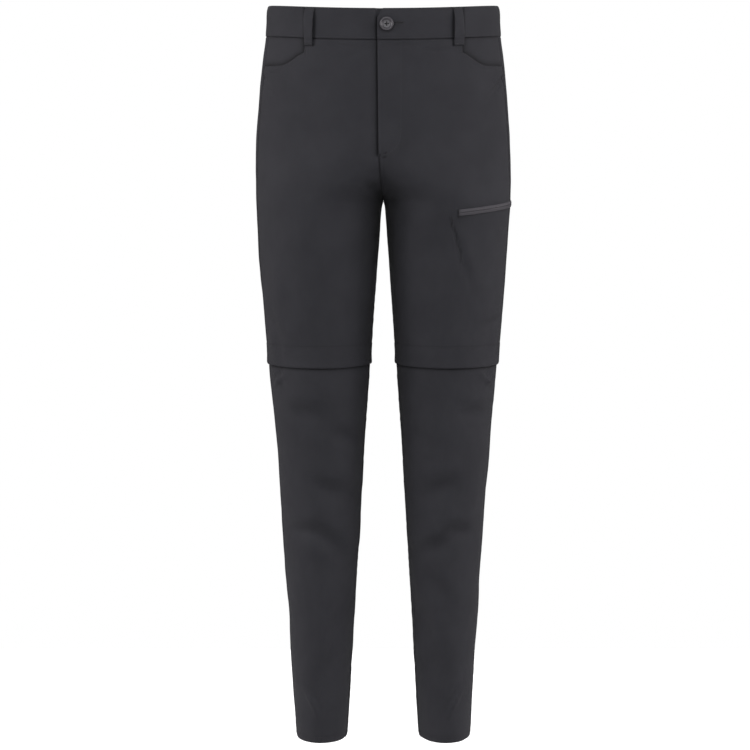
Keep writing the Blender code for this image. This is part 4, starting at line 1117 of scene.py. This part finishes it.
def makeLoop(node, side, face, x, topWidth, lowWidth):
    share = np.linspace(0, 1, beltLoop["rows"])[:, None]
    across = np.sin(np.linspace(-0.5, 0.5, beltLoop["columns"]) * math.pi)[None, :] / 2
    width = topWidth + (lowWidth - topWidth) * ease(share, 0.2, 0.9)
    seamZ = waistband["seamZ"]
    at = x - across * width
    if x == 0.0:
        turns = -lastTurn(seamZ) + across * width / halfOval(seamZ)[1]
    else:
        turns = turnAt(seamZ, at) * (1.0 if face == "front" else -1.0)
    span = waistband["topZ"] - beltLoop["topDrop"] - beltLoop["lowZ"]
    belowTop = beltLoop["topDrop"] + share * span
    zs = waistband["topZ"] - belowTop - frontDip(seamZ, turns)
    depths, lifts = zip(*(waistband["roll"] + beltLoop["carrierEnd"]))
    bow = smoothTable(beltLoop["bow"], ("z", "bow"))
    lift = np.interp(belowTop, depths, lifts) + np.interp(share, bow["z"], bow["bow"]) + beltLoop["wall"]
    lift = lift - beltLoop["edgeRound"] * ease(np.abs(across), beltLoop["roundFrom"], 0.5)
    fromStitch = (np.abs(across) - beltLoop["stitchAt"]) * width
    lift = lift - beltLoop["stitchDent"] * bell(fromStitch, beltLoop["stitchWidth"])
    for drop, fromEnd in zip(beltLoop["endDrop"], (share, 1 - share)):
        lift = lift - drop * bell(fromEnd, beltLoop["endWidth"])
    gathers = unevenness(41, zs, across * width, beltLoop["puckerCell"])
    lift = lift + beltLoop["pucker"] * gathers * ease(0.5 - np.abs(share - 0.5), 0.05, 0.2)
    points, outward = skin(side, zs, turns, lift)
    down = arcAlong(points, 0)
    uv = np.stack([at + 0 * down, down], axis=-1)
    flip = (side == "right") != (face == "back" and x > 0)
    thing = gridMesh(node + "_fine", points, uv, flip, clothMaterial)
    giveWall(thing, beltLoop["wall"])
    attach(thing, "root")
    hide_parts(node)
    rows = [(points[2:-2, where], outward[2:-2, where]) for where in (2, -3)]
    bars = [(points[row, 2:-2] + outward[row, 2:-2] * 0.0001, outward[row, 2:-2]) for row in (2, -3)]
    return rows, bars


bartack = {"pitch": 0.00045, "length": 0.0022, "width": 0.00042, "height": 0.00036, "across": 1.0,
           "unevenness": 0.15}
loopRows, loopBars = [], []
for place in beltLoop["places"]:
    rows, bars = makeLoop(*place)
    loopRows += rows
    loopBars += bars
sew("loop_stitches", loopRows, topstitch, threadMaterial)
sew("loop_bartacks", loopBars, bartack, threadMaterial)
print("belt loops ready")


# button and buttonhole
button = {"x": 0.0040, "z": -0.0054, "radius": 0.0093, "height": 0.0030, "lift": 0.0010,
          "profile": [(0.30, 0.50), (0.56, 0.52), (0.63, 0.60), (0.70, 0.80), (0.76, 0.95), (0.82, 1.0),
                      (0.89, 0.98), (0.95, 0.86), (0.99, 0.66), (1.0, 0.48), (0.98, 0.26), (0.92, 0.10), (0.84, 0.0)],
          "holeRadius": 0.0010, "holeSpread": 0.0021, "threadApart": 0.00035,
          "thread": {"pitch": 0.00022, "length": 0.0005, "width": 0.00046, "height": 0.00046}}
buttonhole = {"z": -0.0040, "startX": 0.0020, "endX": 0.0262, "halfWidth": 0.0011,
              "edge": {"pitch": 0.00050, "length": 0.0016, "width": 0.00046, "height": 0.0004, "across": 1.0},
              "slit": {"pitch": 0.00030, "length": 0.0010, "width": 0.0007, "height": 0.0003}}


def frameAt(point, outward, along):
    xAxis = (along - outward * along.dot(outward)).normalized()
    matrix = Matrix((xAxis, outward.cross(xAxis), outward)).transposed().to_4x4()
    matrix.translation = point
    return matrix


def bmeshObject(name, bm, material):
    bmesh.ops.recalc_face_normals(bm, faces=bm.faces)
    mesh = bpy.data.meshes.new(name)
    bm.to_mesh(mesh)
    bm.free()
    return linked(name, mesh, material)


def plainMesh(thing):
    # applies the modifiers
    mesh = bpy.data.meshes.new_from_object(thing.evaluated_get(bpy.context.evaluated_depsgraph_get()))
    thing.modifiers.clear()
    thing.data = mesh
    return thing


def cutAway(thing, tools):
    for tool in tools:
        cut = thing.modifiers.new(tool.name, "BOOLEAN")
        cut.operation, cut.object = "DIFFERENCE", tool
    plainMesh(thing)
    for tool in tools:
        bpy.data.objects.remove(tool, do_unlink=True)


def finishHard(thing, matrix, rides):
    # the place goes into the mesh, so that the object stays at the origin
    thing.data.transform(matrix)
    thing.data.shade_smooth()
    thing.data.set_sharp_from_angle(angle=math.radians(38))
    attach(thing, rides)


def makeButton():
    turn = turnAt(button["z"], button["x"])
    point, outward = skin("left", button["z"], turn, button["lift"])
    matrix = frameAt(Vector(point), Vector(outward), Vector((1, 0, 0)))
    steps, radius, height = 64, button["radius"], button["height"]
    bm = bmesh.new()
    rings = []
    for across, up in button["profile"]:
        angles = [2 * math.pi * i / steps for i in range(steps)]
        rings.append([bm.verts.new((across * radius * math.cos(a), across * radius * math.sin(a), up * height))
                      for a in angles])
    for inner, outer in zip(rings, rings[1:]):
        for i in range(steps):
            bm.faces.new((inner[i], outer[i], outer[(i + 1) % steps], inner[(i + 1) % steps]))
    bm.faces.new(rings[0])
    bm.faces.new(reversed(rings[-1]))
    disc = bmeshObject("waist_button", bm, buttonMaterial)
    bm = bmesh.new()
    for corner in range(4):
        angle = corner * math.pi / 2
        spot = Vector((math.cos(angle), math.sin(angle), 0)) * button["holeSpread"]
        bmesh.ops.create_cone(bm, cap_ends=True, segments=20, radius1=button["holeRadius"],
                              radius2=button["holeRadius"], depth=4 * height, matrix=Matrix.Translation(spot))
    cutAway(disc, [bmeshObject("button_holes", bm, buttonMaterial)])
    finishHard(disc, matrix, "root")
    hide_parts("button")
    # the thread crosses between opposite holes and goes down to the band
    paths = []
    for line in (Vector((1, 0, 0)), Vector((0, 1, 0))):
        for shift in (-button["threadApart"], 0.0, button["threadApart"]):
            beside = Vector((0, 0, 1)).cross(line) * shift
            spots = []
            for share in np.linspace(-1, 1, 15):
                up = (0.56 + 0.16 * (1 - share * share)) * height if abs(share) < 0.95 else 0.1 * height
                spots.append(matrix @ (line * button["holeSpread"] * share + beside + Vector((0, 0, up))))
            paths.append((spots, [outward] * len(spots)))
    sew("button_thread", paths, button["thread"], darkThreadAndSlitShadeMaterial)


def makeButtonhole():
    surface = "waistband_fine_left"
    xs = np.linspace(buttonhole["startX"], buttonhole["endX"], 40)
    zs = np.full(len(xs), buttonhole["z"])
    half = buttonhole["halfWidth"]
    paths = [layOn(surface, "left", zs + shift, turnAt(zs, xs)) for shift in (half, -half)]
    end = np.linspace(-0.5, 0.5, 9) * math.pi
    endZ = buttonhole["z"] + half * np.sin(end)
    paths.append(layOn(surface, "left", endZ, turnAt(endZ, buttonhole["endX"] + half * np.cos(end))))
    sew("buttonhole_stitches", paths, buttonhole["edge"], threadMaterial)
    # the slit is a row of near-black beans, painted shade in the cut
    sew("buttonhole_slit_shade", [layOn(surface, "left", zs, turnAt(zs, xs), 0.00008)], buttonhole["slit"],
        darkThreadAndSlitShadeMaterial)


makeButton()
makeButtonhole()
print("button ready")


# thigh zip, slider and pull
thighZip = {
    "startX": 0.1011, "startZ": -0.2584, "sideZ": -0.2491, "endTurn": -0.72, "bend": 1.5, "width": 0.0085,
    "columns": 110,
    "section": [  # across from the upper edge, height above the cloth
        (0.500, 0.0001), (0.495, 0.0007), (0.455, 0.0009), (0.330, 0.0010), (0.240, 0.00125), (0.140, 0.0014),
        (0.060, 0.0013), (0.030, 0.0009), (0.0, 0.0007), (-0.030, 0.0009), (-0.060, 0.0013), (-0.140, 0.0014),
        (-0.240, 0.00125), (-0.330, 0.0010), (-0.455, 0.0009), (-0.495, 0.0007), (-0.500, 0.0001)],
    "coil": {"pitch": 0.00115, "length": 0.0024, "width": 0.00075, "height": 0.00034, "across": 1.0,
             "unevenness": 0.04},
    "groove": {"pitch": 0.0006, "length": 0.0012, "width": 0.00075, "height": 0.0004, "unevenness": 0.02},
}
startTurn = float(turnAt(thighZip["startZ"], thighZip["startX"]))


def zipZ(turn):
    rise = (np.maximum(turn, 0.0) / startTurn) ** thighZip["bend"]
    return thighZip["sideZ"] + (thighZip["startZ"] - thighZip["sideZ"]) * rise


def makeThighZip():
    turns = np.linspace(thighZip["endTurn"], startTurn, thighZip["columns"])[None, :]
    across, up = (np.array(column)[:, None] for column in zip(*thighZip["section"]))
    ends = np.minimum(turns - thighZip["endTurn"], startTurn - turns) * 0.1
    up = 0.0001 + up * ease(ends, -0.0001, 0.0012)
    zs = zipZ(turns) + across * thighZip["width"]
    points = skin("left", zs, turns, up)[0]
    strip = gridMesh("thigh_zip_strip", points, np.stack([arcAlong(points, 1), zs], axis=-1), False, tapeMaterial)
    giveWall(strip, 0.0004)
    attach(strip, "root")
    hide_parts("thigh_zip")
    inner = np.linspace(thighZip["endTurn"] + 0.01, startTurn - 0.012, 80)
    middle = zipZ(inner)
    paths = [skin("left", middle + share * thighZip["width"], inner, 0.0013) for share in (0.15, -0.15)]
    sew("thigh_zip_coil", paths, thighZip["coil"], coilMaterial)
    # a row of near-black beans in the gap between the coil rows, as painted shade
    sew("thigh_zip_groove_shade", [skin("left", middle, inner, 0.00085)], thighZip["groove"], grooveShadeMaterial)
    # stitched round, with a bar tack at the front end
    beyond = np.linspace(thighZip["endTurn"] - 0.02, startTurn + 0.02, 60)
    half = thighZip["width"] / 2
    paths = []
    for shift in (half + topstitch["inset"], -half - topstitch["inset"]):
        for surface, which in (("front_fine_left", beyond > body["sideSeamTurn"] + 0.01),
                               ("back_fine_left", beyond < body["sideSeamTurn"] - 0.01)):
            paths.append(layOn(surface, "left", zipZ(beyond[which]) + shift, beyond[which]))
    frontZ = thighZip["startZ"] + np.linspace(half + topstitch["inset"], -half - topstitch["inset"], 8)
    paths.append(layOn("front_fine_left", "left", frontZ, 0 * frontZ + startTurn + 0.02))
    sew("thigh_zip_stitches", paths, topstitch, threadMaterial)
    barZ = thighZip["startZ"] + np.linspace(half, -half, 8)
    sew("thigh_zip_bartack", [skin("left", barZ, startTurn - 0.004, 0.0010)],
        dict(bartack, length=0.0026), darkThreadAndSlitShadeMaterial)


slider = {
    "pivot": (0.165622, 0.073616, -0.249519), "forward": (0.42478, -0.90437, -0.04106),
    "outward": (0.90017, 0.42676, -0.08701),
    "length": 0.0100, "width": 0.0072, "height": 0.0022, "below": 0.0034, "corner": 0.0022,
    "bridgeHalf": 0.0042, "bridgeWidth": 0.0020, "bridgeBar": 0.0010, "bridgeTop": 0.0056,
}
pull = {"length": 0.0200, "width": 0.0056, "wall": 0.0012, "start": -0.0007, "holeStart": 0.0007, "holeEnd": 0.0052,
        "holeWidth": 0.0030, "corner": 0.0019, "dent": 0.00025, "dentX": 0.0122,
        "dentSize": (0.0052, 0.0017, 0.0014)}          # half length, half width and corner


def beveled(thing, width, segments):
    bevel = thing.modifiers.new("soft_edges", "BEVEL")
    bevel.width, bevel.segments, bevel.limit_method = width, segments, "ANGLE"
    return plainMesh(thing)


def extruded(name, corners, low, high):
    # a flat outline in x and y given a thickness in z
    bm = bmesh.new()
    base, top = ([bm.verts.new((x, y, z)) for x, y in corners] for z in (low, high))
    count = len(corners)
    bm.faces.new(reversed(base))
    bm.faces.new(top)
    for i in range(count):
        bm.faces.new((base[i], base[(i + 1) % count], top[(i + 1) % count], top[i]))
    return bmeshObject(name, bm, metalMaterial)


def roundedBox(halfX, halfY, radius, offset=0.0):
    points = []
    for quarter, (cx, cy) in enumerate(((1, 1), (-1, 1), (-1, -1), (1, -1))):
        for step in range(6):
            angle = (quarter + step / 5) * math.pi / 2
            points.append((offset + cx * (halfX - radius) + radius * math.cos(angle),
                           cy * (halfY - radius) + radius * math.sin(angle)))
    return points


def arch(half, top, base, radius):
    # an upside-down U from the left foot to the right one
    bend = np.linspace(0, math.pi / 2, 5)
    left = [(-half, base)] + [(-half + radius * (1 - math.cos(a)), top - radius * (1 - math.sin(a))) for a in bend]
    return left + [(-x, z) for x, z in left[::-1]]


def makeSlider():
    matrix = frameAt(Vector(slider["pivot"]), Vector(slider["outward"]), Vector(slider["forward"]))
    low = -slider["below"]
    corners = roundedBox(slider["length"] / 2, slider["width"] / 2, slider["corner"])
    plate = extruded("slider_plate", corners, low, low + slider["height"])
    beveled(plate, 0.0005, 3)
    # the bridge is an arch over the pull's bar
    bar, foot = slider["bridgeBar"], low + slider["height"] - 0.0003
    top = low + slider["bridgeTop"]
    outer = arch(slider["bridgeHalf"], top, foot, 0.0012)
    inner = arch(slider["bridgeHalf"] - bar, top - bar, foot, 0.0006)
    bm = bmesh.new()
    sides = [[[bm.verts.new((x, y, z)) for x, z in line] for line in (outer, inner)]
             for y in (-slider["bridgeWidth"] / 2, slider["bridgeWidth"] / 2)]
    last = len(outer) - 1
    for i in range(last):
        for line in (0, 1):
            bm.faces.new((sides[0][line][i], sides[0][line][i + 1], sides[1][line][i + 1], sides[1][line][i]))
            bm.faces.new((sides[line][0][i], sides[line][0][i + 1], sides[line][1][i + 1], sides[line][1][i]))
    for i in (0, last):
        bm.faces.new((sides[0][0][i], sides[1][0][i], sides[1][1][i], sides[0][1][i]))
    bridge = bmeshObject("slider_bridge", bm, metalMaterial)
    beveled(bridge, 0.0002, 2)
    for piece in (plate, bridge):
        finishHard(piece, matrix, "root")
    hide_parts("thigh_zip_slider")


def makePull():
    matrix = frameAt(Vector(slider["pivot"]), Vector(slider["outward"]), Vector(slider["forward"]))
    half = pull["length"] / 2
    tab = extruded("zip_pull_tab", roundedBox(half, pull["width"] / 2, pull["corner"], half + pull["start"]),
                   -pull["wall"] / 2, pull["wall"] / 2)
    reach = (pull["holeEnd"] - pull["holeStart"]) / 2
    hole = extruded("pull_hole", roundedBox(reach, pull["holeWidth"] / 2, 0.0006, pull["holeStart"] + reach),
                    -0.002, 0.002)
    dent = extruded("pull_dent", roundedBox(*pull["dentSize"], pull["dentX"]),
                    pull["wall"] / 2 - pull["dent"], 0.002)
    cutAway(tab, [hole, dent])
    beveled(tab, 0.00022, 2)
    finishHard(tab, matrix, "pull")
    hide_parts("thigh_zip_pull")


makeThighZip()
makeSlider()
makePull()
print("thigh zip ready")


# zips round the knees, behind the flaps
kneeZip = {
    "lowZ": -0.4795, "highZ": -0.4415, "stepLowZ": -0.4615, "stepHighZ": -0.4535, "underFlap": 0.0016,
    "underLeg": 0.0036, "wall": 0.0008, "columns": 190, "rows": 22, "coilRow": 9,
    "coil": {"pitch": 0.00145, "length": 0.0046, "width": 0.00095, "height": 0.0011, "across": 1.0,
             "unevenness": 0.03},
    "cut": (0.49, 0.039, 0.0186),
}


def makeKneeZip(side):
    zs = np.linspace(kneeZip["highZ"], kneeZip["lowZ"], kneeZip["rows"])[:, None]
    turns = np.linspace(math.pi, -math.pi, kneeZip["columns"], endpoint=False)[None, :] + 0 * zs
    behind = kneeZip["underFlap"] - kneeZip["underLeg"]
    drop = kneeZip["underLeg"] + behind * ease(zs, kneeZip["stepLowZ"], kneeZip["stepHighZ"])
    points, outward = skin(side, zs, turns, -drop)
    around = arcAlong(points, 1)
    tape = gridMesh("knee_zip_tape_" + side, points, np.stack([around, -zs + 0 * around], axis=-1), side == "left",
                    tapeMaterial, closed=True)
    giveWall(tape, kneeZip["wall"])
    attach(tape, "root")
    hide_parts("knee_zip_" + side)
    row = kneeZip["coilRow"]
    ring = points[row] - outward[row] * (kneeZip["wall"] + 0.0003)
    closed, away = (np.concatenate([line, line[:1]]) for line in (ring, outward[row]))
    sew("knee_zip_coil_" + side, [(closed, away)], kneeZip["coil"], coilMaterial)


for side in ("left", "right"):
    makeKneeZip(side)
print("knee zips ready")


# bar tacks where a seam takes strain
def makeBartacks():
    bars, dark = [], []
    cornerX, cornerZ = pocket["mouth"][0]
    for side in ("left", "right"):
        zs = cornerZ + np.array([0.0035, -0.0025])
        bars.append(layOn("front_fine_" + side, side, zs, turnAt(zs, np.full(2, cornerX - 0.0014)), 0.0001))
        zs = np.array([-0.0612, -0.0672])
        bars.append(layOn("front_fine_" + side, side, zs, np.full(2, body["sideSeamTurn"] + 0.012), 0.0001))
    for low in (-0.1792, -0.1836):
        zs = low + np.array([0.0, 0.0028])
        xs = np.maximum([-0.0070, -0.0010], centreX(zs, "left") + 0.0004)
        dark.append(layOn("front_fine_left", "left", zs, turnAt(zs, xs), 0.0001))
    zs = np.array([-0.3105, -0.3170])
    dark.append(layOn("front_fine_right", "right", zs, body["sideSeamTurn"] + np.array([0.010, 0.012]), 0.0001))
    sew("pocket_bartacks", bars, dict(bartack, length=0.0019), threadMaterial)
    sew("dark_bartacks", dark, dict(bartack, length=0.0013), darkThreadAndSlitShadeMaterial)


makeBartacks()
print("bar tacks ready")


# stage, camera and light
stage = {"floorZ": -1.060, "half": 0.80, "floorTone": (0.50, 0.50, 0.50, 1), "glow": 0.95}
view = {"place": (-0.01149, -3.4, -0.12), "target": (-0.01149, 0.0, -0.48932), "lens": 117.186}
lamps = [  # name, place, target, size, power, colour
    ("front", (0.0, -3.2, 0.9), (0, 0, -0.30), 1.8, 48, (0.99, 0.99, 1.02)),
    ("leftFront", (-3.05, -1.45, 0.9), (0, 0, -0.30), 1.6, 34, (0.995, 0.98, 1.01)),
    ("rightFront", (3.05, -1.45, 0.9), (0, 0, -0.30), 1.6, 34, (0.995, 0.98, 1.01)),
    ("leftSide", (-3.2, -0.3, 0.4), (0, 0, -0.40), 1.6, 40, (1.0, 0.95, 0.97)),
    ("rightSide", (3.2, -0.3, 0.4), (0, 0, -0.40), 1.6, 40, (1.0, 0.95, 0.97)),
    ("back", (0.0, 3.2, 1.2), (0, 0, -0.40), 1.8, 76, (1.0, 1.0, 1.0)),
]
studio = {"seen": 1.0, "light": 0.11}


def makeStage():
    mesh = bpy.data.meshes.new("floor")
    half = stage["half"]
    mesh.from_pydata([(x * half, y * half, stage["floorZ"]) for x, y in ((-1, -1), (1, -1), (1, 1), (-1, 1))], [],
                     [(0, 1, 2, 3)])
    material, nodes, links, shader = nodeMaterial("paleFloor")
    setSockets(shader, {"Base Color": stage["floorTone"], "Roughness": 0.9, "Specular IOR Level": 0.1,
                        "Emission Color": (1, 1, 1, 1)})
    seen = nodes.new("ShaderNodeLightPath")              # as white as the backdrop, without lighting the hems
    links.new(ranged(nodes, links, seen.outputs["Is Camera Ray"], 0.0, stage["glow"]),
              shader.inputs["Emission Strength"])
    linked("floor", mesh, material)


def makeCamera():
    data = bpy.data.cameras.new("camera")
    data.lens, data.sensor_width = view["lens"], 36.0
    camera = bpy.data.objects.new("camera", data)
    camera.location = view["place"]
    aim = Vector(view["target"]) - Vector(view["place"])
    camera.rotation_euler = aim.to_track_quat("-Z", "Y").to_euler()
    bpy.context.scene.collection.objects.link(camera)
    bpy.context.scene.camera = camera


def makeLights():
    for name, place, target, size, power, colour in lamps:
        data = bpy.data.lights.new(name, "AREA")
        data.energy, data.size, data.color = power, size, colour
        light = bpy.data.objects.new(name, data)
        light.location = place
        light.rotation_euler = (Vector(target) - Vector(place)).to_track_quat("-Z", "Y").to_euler()
        bpy.context.scene.collection.objects.link(light)
    world = bpy.data.worlds.new("studio")
    bpy.context.scene.world = world
    world.use_nodes = True
    nodes, links = world.node_tree.nodes, world.node_tree.links
    background = nodes["Background"]
    background.inputs["Color"].default_value = (1, 1, 1, 1)
    seen = nodes.new("ShaderNodeLightPath")              # the backdrop is white, its light is dim
    strength = ranged(nodes, links, seen.outputs["Is Camera Ray"], studio["light"], studio["seen"])
    links.new(strength, background.inputs["Strength"])


makeStage()
makeCamera()
makeLights()
bpy.context.scene.view_settings.view_transform = "Standard"
print("stage ready")
